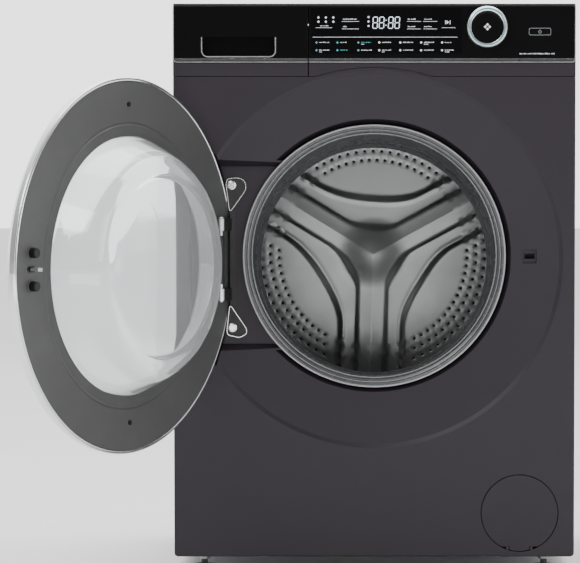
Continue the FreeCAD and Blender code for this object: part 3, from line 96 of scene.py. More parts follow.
def finish_of(name, color, rough, metallic=0.0, tone=0.06, tone_scale=6, rough_vary=0.05, rough_scale=40,
              grain=900, grain_depth=0.02, stretch=(1, 1, 1), **sockets):
    """A material whose tone, roughness and fine grain all vary over the surface. The last arguments name
    further sockets of the shader, with _ for a space."""
    mat, nodes, links, bsdf = shader_of(name)
    ramp = nodes.new("ShaderNodeValToRGB")
    ramp.color_ramp.elements[0].position = 0.3
    ramp.color_ramp.elements[1].position = 0.7
    ramp.color_ramp.elements[0].color = [c * (1 - tone) for c in color] + [1]
    ramp.color_ramp.elements[1].color = [min(1, c * (1 + tone)) for c in color] + [1]
    links.new(noise_node(nodes, links, tone_scale, 4, stretch), ramp.inputs["Fac"])
    links.new(ramp.outputs["Color"], bsdf.inputs["Base Color"])
    spread = nodes.new("ShaderNodeMapRange")
    spread.inputs["From Min"].default_value = 0.25
    spread.inputs["From Max"].default_value = 0.75
    spread.inputs["To Min"].default_value = max(0.01, rough - rough_vary)
    spread.inputs["To Max"].default_value = rough + rough_vary
    links.new(noise_node(nodes, links, rough_scale, 3, stretch), spread.inputs["Value"])
    links.new(spread.outputs["Result"], bsdf.inputs["Roughness"])
    if grain_depth:
        bump = nodes.new("ShaderNodeBump")
        bump.inputs["Strength"].default_value = grain_depth
        bump.inputs["Distance"].default_value = 0.001
        links.new(noise_node(nodes, links, grain, 2, stretch), bump.inputs["Height"])
        links.new(bump.outputs["Normal"], bsdf.inputs["Normal"])
    bsdf.inputs["Metallic"].default_value = metallic
    for socket, value in sockets.items():
        bsdf.inputs[socket.replace("_", " ")].default_value = value
    return mat


PAINT = finish_of("panel_paint", (0.0165, 0.0120, 0.0180), 0.45, tone=0.05, tone_scale=3, rough_vary=0.03,
                  grain=1400, grain_depth=0.06, Specular_IOR_Level=0.36)
BOARD = finish_of("worktop_laminate", (0.018, 0.016, 0.018), 0.5, grain=1800, grain_depth=0.15)
CONSOLE = finish_of("console_gloss", (0.004, 0.004, 0.0045), 0.11, tone=0.1, rough_vary=0.02,
                    grain_depth=0.004, Specular_IOR_Level=0.14)
SCREEN = finish_of("display_gloss", (0.0025, 0.0025, 0.003), 0.06, tone=0.1, rough_vary=0.015,
                   grain_depth=0.002, Specular_IOR_Level=0.14)
SILVER = finish_of("silver_plating", (0.78, 0.79, 0.80), 0.2, metallic=1.0, tone=0.03, rough_vary=0.04,
                   rough_scale=70, grain=1600, grain_depth=0.01)
TRIM = finish_of("trim_plastic", (0.035, 0.035, 0.037), 0.3, grain=1500, grain_depth=0.03)
ZINC = finish_of("zinc_sheet", (0.27, 0.275, 0.28), 0.42, metallic=1.0, tone=0.16, tone_scale=45,
                 rough_vary=0.1, rough_scale=60, grain=500, grain_depth=0.03)
STEEL = finish_of("drum_steel", (0.27, 0.272, 0.275), 0.33, metallic=1.0, tone=0.05, tone_scale=8,
                  rough_vary=0.03, rough_scale=22, grain=700, grain_depth=0.003)
BRIGHT = finish_of("bright_steel", (0.80, 0.805, 0.81), 0.26, metallic=1.0, tone=0.04, rough_vary=0.04,
                   grain=900, grain_depth=0.01)
RING = finish_of("ring_plastic", (0.062, 0.062, 0.063), 0.46, tone=0.05, tone_scale=14, rough_vary=0.06,
                 grain=2600, grain_depth=0.22)
RUBBER = finish_of("gasket_rubber", (0.062, 0.064, 0.067), 0.27, tone=0.05, tone_scale=20, rough_vary=0.07,
                   grain=1200, grain_depth=0.05, Specular_IOR_Level=0.6)
BLACK_RUBBER = finish_of("black_rubber", (0.004, 0.004, 0.004), 0.4, grain=1500, grain_depth=0.1,
                         Specular_IOR_Level=0.3)
BLACK = finish_of("coated_steel", (0.007, 0.007, 0.0075), 0.36, tone=0.2, tone_scale=300, rough_vary=0.1,
                  rough_scale=200, grain=1300, grain_depth=0.5)
DARK = finish_of("dark_plastic", (0.028, 0.028, 0.03), 0.48, grain=1800, grain_depth=0.15)
WHITE = finish_of("white_plastic", (0.7, 0.71, 0.72), 0.42, tone=0.02, grain=1600, grain_depth=0.06)
TUB = finish_of("tub_plastic", (0.4, 0.41, 0.42), 0.5, tone=0.06, tone_scale=30, grain=900, grain_depth=0.1)
IRON = finish_of("cast_iron", (0.12, 0.12, 0.12), 0.65, metallic=0.6, tone=0.2, tone_scale=60, grain=400,
                 grain_depth=0.4)
ALLOY = finish_of("cast_alloy", (0.55, 0.55, 0.56), 0.45, metallic=1.0, tone=0.1, grain=500, grain_depth=0.2)
CIRCUIT = finish_of("circuit_board", (0.02, 0.14, 0.06), 0.35, tone=0.25, tone_scale=220, grain_depth=0.05)
# the white print glows faintly: painted brightness, since print is no lamp
PRINT = finish_of("print_white", (0.75, 0.77, 0.78), 0.5, tone=0.03, grain_depth=0,
                  Emission_Color=(0.8, 0.85, 0.88, 1), Emission_Strength=0.25)
PRINT_GREY = finish_of("print_grey", (0.33, 0.35, 0.36), 0.5, tone=0.03, grain_depth=0)
# the teal glows faintly: lit from within on the dial's ring, painted glow on the printed programme marks
TEAL = finish_of("print_teal", (0.05, 0.30, 0.36), 0.45, tone=0.05, grain_depth=0,
                 Emission_Color=(0.1, 0.5, 0.6, 1), Emission_Strength=0.25)
DIGITS = finish_of("display_digits", (0.7, 0.78, 0.82), 0.4, tone=0.02, grain_depth=0,
                   Emission_Color=(0.75, 0.88, 0.95, 1), Emission_Strength=0.8)
# the bowl's glass is part milky white: a painted reflection, standing in for the bright light the curved glass
# reflects
GLASS = finish_of("bowl_glass", (0.97, 0.985, 0.99), 0.03, tone=0.01, rough_vary=0.015, rough_scale=12,
                  grain=30, grain_depth=0.02, Transmission_Weight=0.86, IOR=1.5)
WINDOW = finish_of("window_clear", (0.90, 0.92, 0.93), 0.02, tone=0.01, rough_vary=0.01, grain_depth=0,
                   Transmission_Weight=1.0, IOR=1.2)

CAD_FINISHES = {
    PAINT: ["front_panel", "left_side", "right_side", "console_strip", "drawer_strip", "filter_flap"],
    BOARD: ["worktop"],
    CONSOLE: ["control_panel", "drawer_front", "power_button"],
    SCREEN: ["display_window"],
    TRIM: ["console_trim", "drawer_trim"],
    SILVER: ["door_rim", "dial", "latch_hook", "hinge_pin"],
    ZINC: ["base_tray", "rear_panel", "rear_cover", "foot_nuts", "suspension_springs", "heater",
           "motor_stator", "motor_rotor", "drum_bearings", "rear_screws"],
    BRIGHT: ["drum_front_ring", "hinge_screws"],
    STEEL: ["drum_shell", "drum_back", "drum_lifters"],
    ALLOY: ["drum_spider"],
    RING: ["door_inner_ring"],
    RUBBER: ["door_gasket"],
    BLACK_RUBBER: ["water_hoses", "door_bumpers", "door_screws", "cord_gland"],
    BLACK: ["hinge_bracket", "door_arm"],
    DARK: ["transit_caps", "drain_outlet", "door_lock", "drain_pump", "levelling_feet", "dampers",
           "filter_bezel"],
    WHITE: ["drawer_tray", "dispenser_housing", "filter_housing", "filter_cap", "pump_impeller",
            "inlet_valve"],
    TUB: ["tub_front_half", "tub_rear_half"],
    IRON: ["counterweights"],
    CIRCUIT: ["display_board"],
    WINDOW: ["door_window"],
    GLASS: ["door_glass"],
}
for mat, names in CAD_FINISHES.items():
    for name in names:
        NODES[name].data.materials.clear()
        NODES[name].data.materials.append(mat)


# ------------------------------------------------------------------ making pieces
def piece(name, bm, mat, body, replaced=(), at=None, sharp=35):
    """Turns a bmesh, drawn in metres in the row's frame, into a piece that rides on a CAD body."""
    bmesh.ops.recalc_face_normals(bm, faces=bm.faces)
    mesh = bpy.data.meshes.new(name)
    bm.to_mesh(mesh)
    bm.free()
    if at is not None:
        mesh.transform(at)
    mesh.polygons.foreach_set("use_smooth", [True] * len(mesh.polygons))
    mesh.set_sharp_from_angle(angle=math.radians(sharp))
    mesh.materials.append(mat)
    obj = bpy.data.objects.new(name, mesh)
    bpy.context.scene.collection.objects.link(obj)
    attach(obj, body)
    if replaced:
        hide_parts(*replaced)
    return obj


def lathe(profile, centre, steps=192, closed=True, start=0.0, sweep=math.tau, drop=None):
    """A surface turned about the line along Y through centre. The profile is (radius, depth, ...) in mm, and
    drop gives the axis's height offset in mm for a depth, for a sleeve that steps down."""
    bm = bmesh.new()
    full = abs(sweep - math.tau) < 1e-6
    count = steps if full else steps + 1
    rings = []
    for radius, depth in profile:
        lower = drop(depth) if drop else 0
        if radius < 1e-6:
            rings.append([bm.verts.new(centre + Vector((0, depth, lower)) * MM)])
            continue
        ring = []
        for i in range(count):
            angle = start + sweep * i / steps
            place = Vector((radius * math.cos(angle), depth, radius * math.sin(angle) + lower))
            ring.append(bm.verts.new(centre + place * MM))
        rings.append(ring)
    pairs = list(zip(rings, rings[1:])) + ([(rings[-1], rings[0])] if closed else [])
    for a, b in pairs:
        if len(a) == 1 and len(b) == 1:
            continue
        for i in range(count if full else count - 1):
            j = (i + 1) % count
            if len(a) == 1:
                bm.faces.new((a[0], b[i], b[j]))
            elif len(b) == 1:
                bm.faces.new((a[i], b[0], a[j]))
            else:
                bm.faces.new((a[i], b[i], b[j], a[j]))
    return bm


def rounded_path(points, radius, steps=6):
    """The corners of a closed outline, each replaced by a small curve of the given reach."""
    out = []
    count = len(points)
    for i, point in enumerate(points):
        p = Vector(point)
        before = Vector(points[i - 1]) - p
        after = Vector(points[(i + 1) % count]) - p
        reach = min(radius, before.length * 0.45, after.length * 0.45)
        a = p + before.normalized() * reach
        b = p + after.normalized() * reach
        for k in range(steps + 1):
            t = k / steps
            out.append(tuple(a * (1 - t) ** 2 + p * 2 * t * (1 - t) + b * t ** 2))
    return out


def prism(bm, outline, y_front, y_back):
    """A flat shape of (x, z) points in mm, between two depths in metres."""
    front = [bm.verts.new((x * MM, y_front, z * MM)) for x, z in outline]
    back = [bm.verts.new((x * MM, y_back, z * MM)) for x, z in outline]
    count = len(outline)
    for i in range(count):
        bm.faces.new((front[i], front[(i + 1) % count], back[(i + 1) % count], back[i]))
    bm.faces.new(front)
    bm.faces.new(list(reversed(back)))


def stroke(bm, points, width, y_front, y_back, closed=False):
    """A line of even width through (x, z) points in mm, between two depths in metres."""
    count = len(points)
    left, right = [], []
    for i, point in enumerate(points):
        p = Vector(point)
        ahead = Vector(points[(i + 1) % count]) if closed or i + 1 < count else p
        behind = Vector(points[i - 1]) if closed or i > 0 else p
        along = (ahead - behind).normalized()
        side = Vector((-along.y, along.x)) * width / 2
        left.append(p + side)
        right.append(p - side)
    sides = []
    for a, b in zip(left, right):
        sides.append([bm.verts.new((q.x * MM, y, q.y * MM)) for q in (a, b) for y in (y_front, y_back)])
    last = count if closed else count - 1
    for i in range(last):
        a, b = sides[i], sides[(i + 1) % count]
        bm.faces.new((a[0], b[0], b[2], a[2]))
        bm.faces.new((a[1], a[3], b[3], b[1]))
        bm.faces.new((a[0], a[1], b[1], b[0]))
        bm.faces.new((a[2], b[2], b[3], a[3]))
    if not closed:
        for a in (sides[0], sides[-1]):
            bm.faces.new((a[0], a[2], a[3], a[1]))


def circle_points(x, z, radius, start=0, end=360, steps=40):
    """Points on an arc about (x, z), from one angle in degrees to another."""
    angles = [math.radians(start + (end - start) * i / steps) for i in range(steps + 1)]
    return [(x + radius * math.cos(a), z + radius * math.sin(a)) for a in angles]


# ------------------------------------------------------------------ drum
ARM_TURN = math.radians(-90 - 1.5)  # the lowest arm leans slightly
BACK_DEPTH = 352
BACK_RADIUS = 260.8
HOLE_ROWS = (150, 164, 178)
HOLE_CELLS = 76
HOLE_PROFILE = ((2.7, 0.0), (2.1, 0.12), (1.8, 0.5), (1.8, 3.0))  # (radius, depth) of a hole's rolled edge
CELL_HALF = 7.0  # half of a row's width
CELL_STEPS = 8  # points along a cell's edge
BESIDE_ARM = 66  # no hole is nearer than this to an arm's line


def smooth_least(values, blend):
    """The smallest value, rounded off where two are nearly equal."""
    low = values[0]
    for value in values[1:]:
        h = max(blend - abs(low - value), 0) / blend
        low = min(low, value) - h * h * blend / 4
    return low


def ease(t):
    """A smooth step from 0 to 1."""
    t = max(0.0, min(1.0, t))
    return t * t * (3 - 2 * t)


def back_relief(x, z):
    """How far the drum's pressed back stands out towards the door at a point, in mm."""
    distances = []
    for arm in range(3):
        a = ARM_TURN + math.tau * arm / 3
        along = x * math.cos(a) + z * math.sin(a)
        across = abs(-x * math.sin(a) + z * math.cos(a))
        distances.append(across if along > 0 else math.hypot(x, z))
    outer = smooth_least(distances, 78)
    inner = smooth_least(distances, 40)
    radius = math.hypot(x, z)
    fade = ease((232 - radius) / 14)
    step_out = 3.6 * ease((54 - outer) / 11)
    step_in = 3.0 * ease((25 - inner) / 7)
    ridge = 1.3 * math.exp(-((outer - 46) / 3.5) ** 2) + 1.2 * math.exp(-((inner - 22.5) / 2.2) ** 2)
    arch = 0.0016 * max(0.0, 40 - inner) ** 2
    hub = 8.0 * ease((60 - radius) / 60)
    return (step_out + step_in + ridge + arch + hub) * fade


def back_point(radius, angle):
    """A point on the drum's pressed back, whose edge turns away from the door."""
    x = radius * math.cos(angle)
    z = radius * math.sin(angle)
    rim = 10.0 * ease((radius - 222) / 16)
    return DRUM_CENTRE + Vector((x, BACK_DEPTH + rim - back_relief(x, z), z)) * MM


def in_hole_sector(angle, radius):
    """The holes fill three fans between the arms."""
    gap = min(abs((angle - ARM_TURN - math.tau * k / 3 + math.pi) % math.tau - math.pi) for k in range(4))
    return gap * radius > BESIDE_ARM


def perforated_back():
    """The drum's back: a fine grid inside and outside three rings of cells, of which those away from the arms
    have a hole each."""
    bm = bmesh.new()
    around = HOLE_CELLS * CELL_STEPS
    inner_levels = [2.0 + 3.2 * i for i in range(44)] + [HOLE_ROWS[0] - CELL_HALF]
    outer_levels = [HOLE_ROWS[-1] + CELL_HALF + 3.0 * i for i in range(19)] + [BACK_RADIUS]

    def grid(radii):
        rings = [[bm.verts.new(back_point(r, math.tau * i / around)) for i in range(around)] for r in radii]
        for a, b in zip(rings, rings[1:]):
            for i in range(around):
                j = (i + 1) % around
                bm.faces.new((a[i], b[i], b[j], a[j]))
        return rings

    inner = grid(inner_levels)
    centre = bm.verts.new(back_point(0, 0))
    for i in range(around):
        bm.faces.new((centre, inner[0][i], inner[0][(i + 1) % around]))
    grid(outer_levels)
    cell_angle = math.tau / HOLE_CELLS
    for row, radius in enumerate(HOLE_ROWS):
        low, high = radius - CELL_HALF, radius + CELL_HALF
        for cell in range(HOLE_CELLS):
            first = cell_angle * (cell + 0.5 * (row % 2))
            edge = [(low, first + cell_angle * k / CELL_STEPS) for k in range(CELL_STEPS + 1)]
            edge += [(low + (high - low) * k / 4, first + cell_angle) for k in range(1, 4)]
            edge += [(high, first + cell_angle * k / CELL_STEPS) for k in range(CELL_STEPS, -1, -1)]
            edge += [(high - (high - low) * k / 4, first) for k in range(1, 4)]
            boundary = [bm.verts.new(back_point(r, a)) for r, a in edge]
            middle_angle = first + cell_angle / 2
            if not in_hole_sector(middle_angle, radius):
                hub = bm.verts.new(back_point(radius, middle_angle))
                for i, vert in enumerate(boundary):
                    bm.faces.new((hub, boundary[i - 1], vert))
                continue
            hx, hz = radius * math.cos(middle_angle), radius * math.sin(middle_angle)
            rings = [boundary]
            base = DRUM_CENTRE + Vector((hx, BACK_DEPTH - back_relief(hx, hz), hz)) * MM
            for hole_radius, sink in HOLE_PROFILE:
                ring = []
                for r, a in edge:
                    ex, ez = r * math.cos(a) - hx, r * math.sin(a) - hz
                    length = math.hypot(ex, ez)
                    offset = Vector((ex / length * hole_radius, sink, ez / length * hole_radius)) * MM
                    ring.append(bm.verts.new(base + offset))
                rings.append(ring)
            for a, b in zip(rings, rings[1:]):
                for i in range(len(a)):
                    bm.faces.new((a[i - 1], a[i], b[i], b[i - 1]))
    bmesh.ops.remove_doubles(bm, verts=bm.verts, dist=2e-5)
    return bm


piece("drum_pressed_back", perforated_back(), STEEL, "drum", ["drum_back"], sharp=60)
# a dark disc behind the holes: painted shade, which makes the holes read dark
hole_shade_disc = lathe([(0, 357), (262, 363), (262, 364), (0, 358)], DRUM_CENTRE, closed=False)
piece("drum_hole_shade", hole_shade_disc, DARK, "drum")
mouth = lathe([
    (262, 109), (260, 105), (256, 103), (230, 102), (205, 100.5), (190, 98.5), (184, 98.2), (179, 99.5),
    (176.4, 102.5), (175.6, 107), (176, 113), (177.6, 114), (177.4, 107), (179.5, 102.6), (186, 100.4),
    (205, 102.4), (230, 104), (255, 105), (258, 107), (259.5, 110)], DRUM_CENTRE, ROUND_STEPS)
piece("drum_mouth", mouth, BRIGHT, "drum", ["drum_front_ring"])

# ------------------------------------------------------------------ gasket
PORT_TO_DRUM = (DRUM_CENTRE.z - PORT_CENTRE.z) / MM + 2
DROP_START, DROP_LENGTH = 26, 62  # the stretch of depth, in mm, over which the sleeve steps down


def gasket_drop(depth):
    """The sleeve's axis moves down from the porthole's centre to near the drum's."""
    return PORT_TO_DRUM * ease((depth - DROP_START) / DROP_LENGTH)


gasket_profile = rounded_path([
    (195.2, 12.5), (195.2, 34), (190, 36), (187, 46), (190, 52), (186, 60), (181, 64), (184, 72), (180, 84),
    (186, 80), (186, 82), (180.5, 88), (180.5, 95), (170.5, 95), (169.4, 92), (170, 86), (175, 80), (177.2, 70),
    (174.6, 62), (178.6, 52), (182.5, 44), (181, 36), (181, 31), (183.6, 28.5), (184.2, 24), (182.8, 21.2),
    (184.5, 18), (187.5, 16.8), (189, 13.5), (191, 12.2)], 2.6, 3)
sleeve = lathe(gasket_profile, PORT_CENTRE, ROUND_STEPS, drop=gasket_drop)
piece("gasket_sleeve", sleeve, RUBBER, "cabinet", ["door_gasket"], sharp=50)

# painted highlights: pale lines along the edges of its lips, where the light catches the grey rubber
LIP_HIGHLIGHT = finish_of("gasket_lip_highlight", (0.36, 0.365, 0.37), 0.25, tone=0.05, grain=900, grain_depth=0.02)
LIP_HIGHLIGHT_LINES = {
    "outer": [(193.0, 12.2), (194.1, 11.4), (195.3, 12.2), (194.1, 13.0)],
    "inner": [(187.2, 16.4), (188.2, 15.6), (189.2, 16.2), (188.2, 17.4)],
    "deep": [(181.2, 29.6), (182.0, 28.6), (183.4, 29.2), (182.6, 30.4)],
}
for label, profile in LIP_HIGHLIGHT_LINES.items():
    piece("gasket_highlight_line_" + label, lathe(profile, PORT_CENTRE, ROUND_STEPS), LIP_HIGHLIGHT, "cabinet")

# ------------------------------------------------------------------ door
# The door's pieces are drawn with the door closed, and OPENING turns them to rest. GLASS_OUT is the bowl's
# face towards the drum and GLASS_IN the one towards the window, as (radius, depth) in mm.
GLASS_OUT = [
    (193, -8.6), (186.5, -8.6), (184.6, -6.5), (183, -1), (178.5, 9), (173.5, 19), (168, 29), (162.5, 39),
    (157.5, 46.5), (152.5, 52), (146.5, 55.6), (139, 58), (126, 59.8), (100, 61.2), (60, 62.4), (30, 62.8),
    (0, 63)]
GLASS_IN = [
    (0, 57.6), (30, 57.5), (60, 57.2), (100, 56.4), (121, 55.4), (127, 54.2), (129, 51.8), (131.5, 50.6),
    (139, 49.0), (146.5, 45.6), (151, 41.4), (157, 35), (162.5, 25.5), (168, 15.5), (173, 5.5), (177, -3.5),
    (179, -8), (180.5, -11.8), (193, -11.8)]
bowl = lathe(GLASS_OUT + GLASS_IN, DOOR_CENTRE, ROUND_STEPS)
piece("glass_bowl", bowl, GLASS, "door", ["door_glass"], at=OPENING, sharp=40)

# two short bands on the rim, on the hinge's side: where each starts and how far it goes round, in degrees
RIM_BAND = [(267.45, -6.8), (268.1, -6.8), (268.1, -14.6), (266.6, -18.4), (266.0, -18.2), (267.2, -14.4)]
for label, first_angle, turn, mat in (("grip", 124, 32, TRIM), ("clip", 188, 22, ALLOY)):
    band = lathe(RIM_BAND, DOOR_CENTRE, 48, start=math.radians(first_angle), sweep=math.radians(turn))
    piece("rim_" + label, band, mat, "door", at=OPENING)
DOOR_BEAD = [(262.4, -4.4), (263.6, -3.9), (264.6, -4.4), (264.6, -5.4), (262.4, -5.4)]
bead = lathe(DOOR_BEAD, DOOR_CENTRE, ROUND_STEPS)
piece("door_bead", bead, SILVER, "door", at=OPENING)


# the hinge: heights in mm above and below the door's centre
EAR_FACE = FRONT_Y + 19.9 * MM
EAR_CORNERS = {
    "top": [(-215, 69), (-190, 104), (-192.6, 117.3), (-203, 121.2), (-218.4, 119.4), (-220.2, 112)],
    "low": [(-215, -67), (-219.4, -108), (-217.4, -113.2), (-200, -117.2), (-190, -111.4), (-190, -104)],
}
BARREL_HEIGHTS = {"top": 52, "low": -52}
BARREL_PROFILE = ((5.45, -9.1), (5.95, -8.8), (5.95, 8.8), (5.45, 9.1))
EAR_SCREWS = {"top": (-212, 110), "low": (-211, -102)}
BUMPER_X = 229
BUMPER_HEIGHTS = {"top": 27.3, "low": -18.3}
SMALL_STEPS = 40  # sides of the small turned rings


def hinge_ear_highlight(corners):
    """A painted highlight: a bright line round one ear of the hinge plate, where its pressed edge catches the
    light.
    """
    bm = bmesh.new()
    middle_z = DOOR_CENTRE.z / MM
    outline = rounded_path([(x, middle_z + z) for x, z in corners], 7, 4)
    stroke(bm, outline, 0.8, EAR_FACE - 0.35 * MM, EAR_FACE + 0.05 * MM, closed=True)
    return bm


def barrel_sleeve(height, sides=32):
    """A bright sleeve round the hinge's pin."""
    bm = bmesh.new()
    rings = []
    for radius, z in BARREL_PROFILE:
        ring = []
        for i in range(sides):
            angle = math.tau * i / sides
            place = Vector((radius * math.cos(angle), radius * math.sin(angle), z + height))
            ring.append(bm.verts.new(Vector((HINGE.x, HINGE.y, DOOR_CENTRE.z)) + place * MM))
        rings.append(ring)
    for a, b in zip(rings, rings[1:] + rings[:1]):
        for i in range(sides):
            j = (i + 1) % sides
            bm.faces.new((a[i], a[j], b[j], b[i]))
    return bm


def beside_door(x, z):
    """A point on the front plane, from mm beside and above the door's centre."""
    return Vector((x * MM, FRONT_Y, DOOR_CENTRE.z + z * MM))


# a painted highlight along each ear's pressed edge
for label, corners in EAR_CORNERS.items():
    piece("ear_highlight_" + label, hinge_ear_highlight(corners), BRIGHT, "cabinet")
for label, height in BARREL_HEIGHTS.items():
    piece("barrel_sleeve_" + label, barrel_sleeve(height), SILVER, "cabinet")
for label, (x, z) in EAR_SCREWS.items():
    ring = lathe([(4.7, 17.3), (6.6, 18.2), (6.6, 19.8), (4.7, 19.8)], beside_door(x, z), SMALL_STEPS)
    piece("screw_ring_" + label, ring, BRIGHT, "cabinet")
for label, z in BUMPER_HEIGHTS.items():
    centre = beside_door(BUMPER_X, z)
    collar = lathe([(7.3, -5.0), (9.2, -5.0), (9.2, -3.9), (8.6, -3.5), (7.3, -3.6)], centre, SMALL_STEPS)
    piece("bumper_collar_" + label, collar, RING, "door", at=OPENING)

# ------------------------------------------------------------------ console
# Widths and heights here are x and z in mm.
PRINT_BACK = FRONT_Y + 0.02 * MM
PRINT_FRONT = FRONT_Y - 0.12 * MM
STROKE_STEP = 1.35  # from one stroke of generic print to the next
RULE = 0.5  # height of the thin rules
DIAMOND = 1.9  # half of a diamond's width
DIGIT_XS = (-2.5, 7.0, 20.5, 30.0)
DIGIT_LOW, DIGIT_WIDE, DIGIT_HIGH = 813.5, 6.6, 16.6
COLON_X, COLON_ZS = 17.2, (818.0, 825.5)
LABEL_ROWS = (826.4, 815.4)
RULE_BELOW = 3.0  # from a label down to its rule
LOW_RULE_Z = 814.2
LONG_RULE_Z = 800.3
PROGRAMME_ROWS = (792.6, 781.2)
PROGRAMME_X, PROGRAMME_STEP, PROGRAMMES = -85.4, 30.9, 7
TEAL_PROGRAMMES = 3


def dash(bm, x, z, length, height=1.3):
    """A small bar of print."""
    prism(bm, [(x, z), (x + length, z), (x + length, z + height), (x, z + height)], PRINT_FRONT, PRINT_BACK)


def words(bm, x, z, lengths, height=1.3, gap=0.8):
    """A generic line of print: runs of small strokes in place of lettering."""
    for length in lengths:
        strokes = max(1, round(length / STROKE_STEP))
        for i in range(strokes):
            tall = height * random.choice((0.8, 1.0, 1.25))
            dash(bm, x + i * STROKE_STEP, z, random.choice((0.7, 0.95)), tall)
        x += strokes * STROKE_STEP + gap


def diamond(bm, x, z, size, y_front=PRINT_FRONT, y_back=PRINT_BACK):
    """A square standing on its corner."""
    prism(bm, [(x - size, z), (x, z - size), (x + size, z), (x, z + size)], y_front, y_back)


def seven_segments(bm, x, z, wide, high, thick=1.15):
    """A figure eight of seven bars, leaning slightly."""
    lean = 0.06
    half = high / 2
    bars = [((0, 0), (wide, 0)), ((0, half), (wide, half)), ((0, high), (wide, high)), ((0, 0), (0, half)),
            ((0, half), (0, high)), ((wide, 0), (wide, half)), ((wide, half), (wide, high))]
    for (ax, az), (bx, bz) in bars:
        a = Vector((x + ax + az * lean, z + az))
        b = Vector((x + bx + bz * lean, z + bz))
        short = (b - a).normalized() * 0.75
        stroke(bm, [tuple(a + short), tuple(b - short)], thick, PRINT_FRONT, PRINT_BACK)


def display():
    """Four figures with a colon between the pairs."""
    bm = bmesh.new()
    for x in DIGIT_XS:
        seven_segments(bm, x, DIGIT_LOW, DIGIT_WIDE, DIGIT_HIGH)
    for z in COLON_ZS:
        prism(bm, circle_points(COLON_X, z, 0.85, steps=12)[:-1], PRINT_FRONT, PRINT_BACK)
    return bm


def display_surround(bm):
    """The symbols and labels on both sides of the display, and the rules under them."""
    for i in range(3):
        for j in range(2):
            diamond(bm, -82.5 + 11 * i, 829.5 - 6.3 * j, DIAMOND)
    words(bm, -80, 816.6, (4, 3, 4), 1.2)
    dash(bm, -86.5, LOW_RULE_Z, 24.5, RULE)
    for z, lengths in zip(LABEL_ROWS, ((5, 3, 6, 4), (6,))):
        words(bm, -46, z, lengths, 1.3)
        dash(bm, -48, z - RULE_BELOW, 25.5, RULE)
    for x, lengths in ((49.5, (4, 7)), (73.5, (5, 6))):
        for z in LABEL_ROWS:
            words(bm, x, z, lengths, 1.2)
            dash(bm, x - 1.2, z - RULE_BELOW, 20.5, RULE)
    for z in (830, 823.5, 817):
        prism(bm, circle_points(-8.6, z, 1.6, steps=6)[:-1], PRINT_FRONT, PRINT_BACK)


def start_symbol(bm):
    """Two bars and a triangle, over a rule."""
    for x in (104.5, 111.4):
        dash(bm, x, 819.6, 0.9, 5.6)
    prism(bm, [(106.6, 819.6), (110.4, 822.4), (106.6, 825.2)], PRINT_FRONT, PRINT_BACK)
    dash(bm, 99.4, LOW_RULE_Z, 20, RULE)


def programme_list(white, teal):
    """Two rows of programmes: a diamond each, and one or two lines of print."""
    for i in range(PROGRAMMES):
        for j, z in enumerate(PROGRAMME_ROWS):
            x = PROGRAMME_X + PROGRAMME_STEP * i
            diamond(teal if i < TEAL_PROGRAMMES else white, x, z, DIAMOND)
            in_teal = i < TEAL_PROGRAMMES and (i + j) % 3 == 2
            lengths = [random.uniform(2.4, 6) for _ in range(3)]
            words(teal if in_teal else white, x + 4.2, z - 0.4, lengths, 1.2)
            if (i * 2 + j) % 3 == 1:
                words(white, x + 4.2, z - 3.0, [random.uniform(3, 7)], 1.1)


random.seed(4)
piece("display_digits", display(), DIGITS, "cabinet")
marks = bmesh.new()
teal_marks = bmesh.new()
display_surround(marks)
start_symbol(marks)
dash(marks, -91.2, LONG_RULE_Z, 214, RULE)
programme_list(marks, teal_marks)
words(marks, 214.5, 775.4, (4, 5, 7, 5, 9, 8, 6), 1.5, 1.2)
piece("panel_marks", marks, PRINT, "cabinet")
piece("panel_marks_teal", teal_marks, TEAL, "cabinet")

# the dial: a turned ring with a pale rim around a black face, and a sign of four diamonds
DIAL_STEPS = 160
dial = lathe([
    (24.2, -12.6), (25.4, -13.0), (26.6, -12.9), (28.3, -12.2), (29.8, -10.6), (30.7, -8), (30.9, -4),
    (30.7, -0.8), (28.6, -0.6), (28.4, -9.6), (24.2, -11.4)], DIAL_CENTRE, DIAL_STEPS)
piece("dial_rim", dial, SILVER, "dial")
face = lathe([(0, -12.1), (20, -12.15), (23.3, -12.35), (24.1, -12.6), (24.1, -10.4), (0, -10.4)], DIAL_CENTRE,
             120, closed=False)
piece("dial_face", face, CONSOLE, "dial")
glow = lathe([(25.9, -13.05), (27.4, -12.75), (27.4, -12.5), (25.9, -12.8)], DIAL_CENTRE, DIAL_STEPS)
piece("dial_glow", glow, TEAL, "dial")
sign = bmesh.new()
sign_x, sign_z = DIAL_CENTRE.x / MM, DIAL_CENTRE.z / MM
for x, z in ((0, 3.2), (0, -3.2), (3.2, 0), (-3.2, 0)):
    diamond(sign, sign_x + x, sign_z + z, 2.15, FRONT_Y - 12.3 * MM, FRONT_Y - 12.0 * MM)
piece("dial_sign", sign, PRINT, "dial")
shaft = lathe([(7, -9.6), (7, -1), (3, -1), (3, 17.5), (0, 17.5)], DIAL_CENTRE, 64, closed=False)
piece("dial_shaft", shaft, DARK, "dial", ["dial"])


def power_mark():
    """The line around the power button, and the on and off symbol on it."""
    bm = bmesh.new()
    x, z = POWER_CENTRE.x / MM, POWER_CENTRE.z / MM
    face_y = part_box("power_button")[0].y
    depths = (face_y - 0.1 * MM, face_y + 0.1 * MM)
    frame_line = rounded_path([(x - 16, z - 5), (x + 16, z - 5), (x + 16, z + 5), (x - 16, z + 5)], 2.2, 5)
    stroke(bm, frame_line, 0.55, *depths, closed=True)
    stroke(bm, circle_points(x, z - 0.3, 2.1, 125, 415, 24), 0.5, *depths)
    stroke(bm, [(x, z + 0.4), (x, z + 2.8)], 0.5, *depths)
    return bm


piece("power_mark", power_mark(), PRINT_GREY, "power_button")

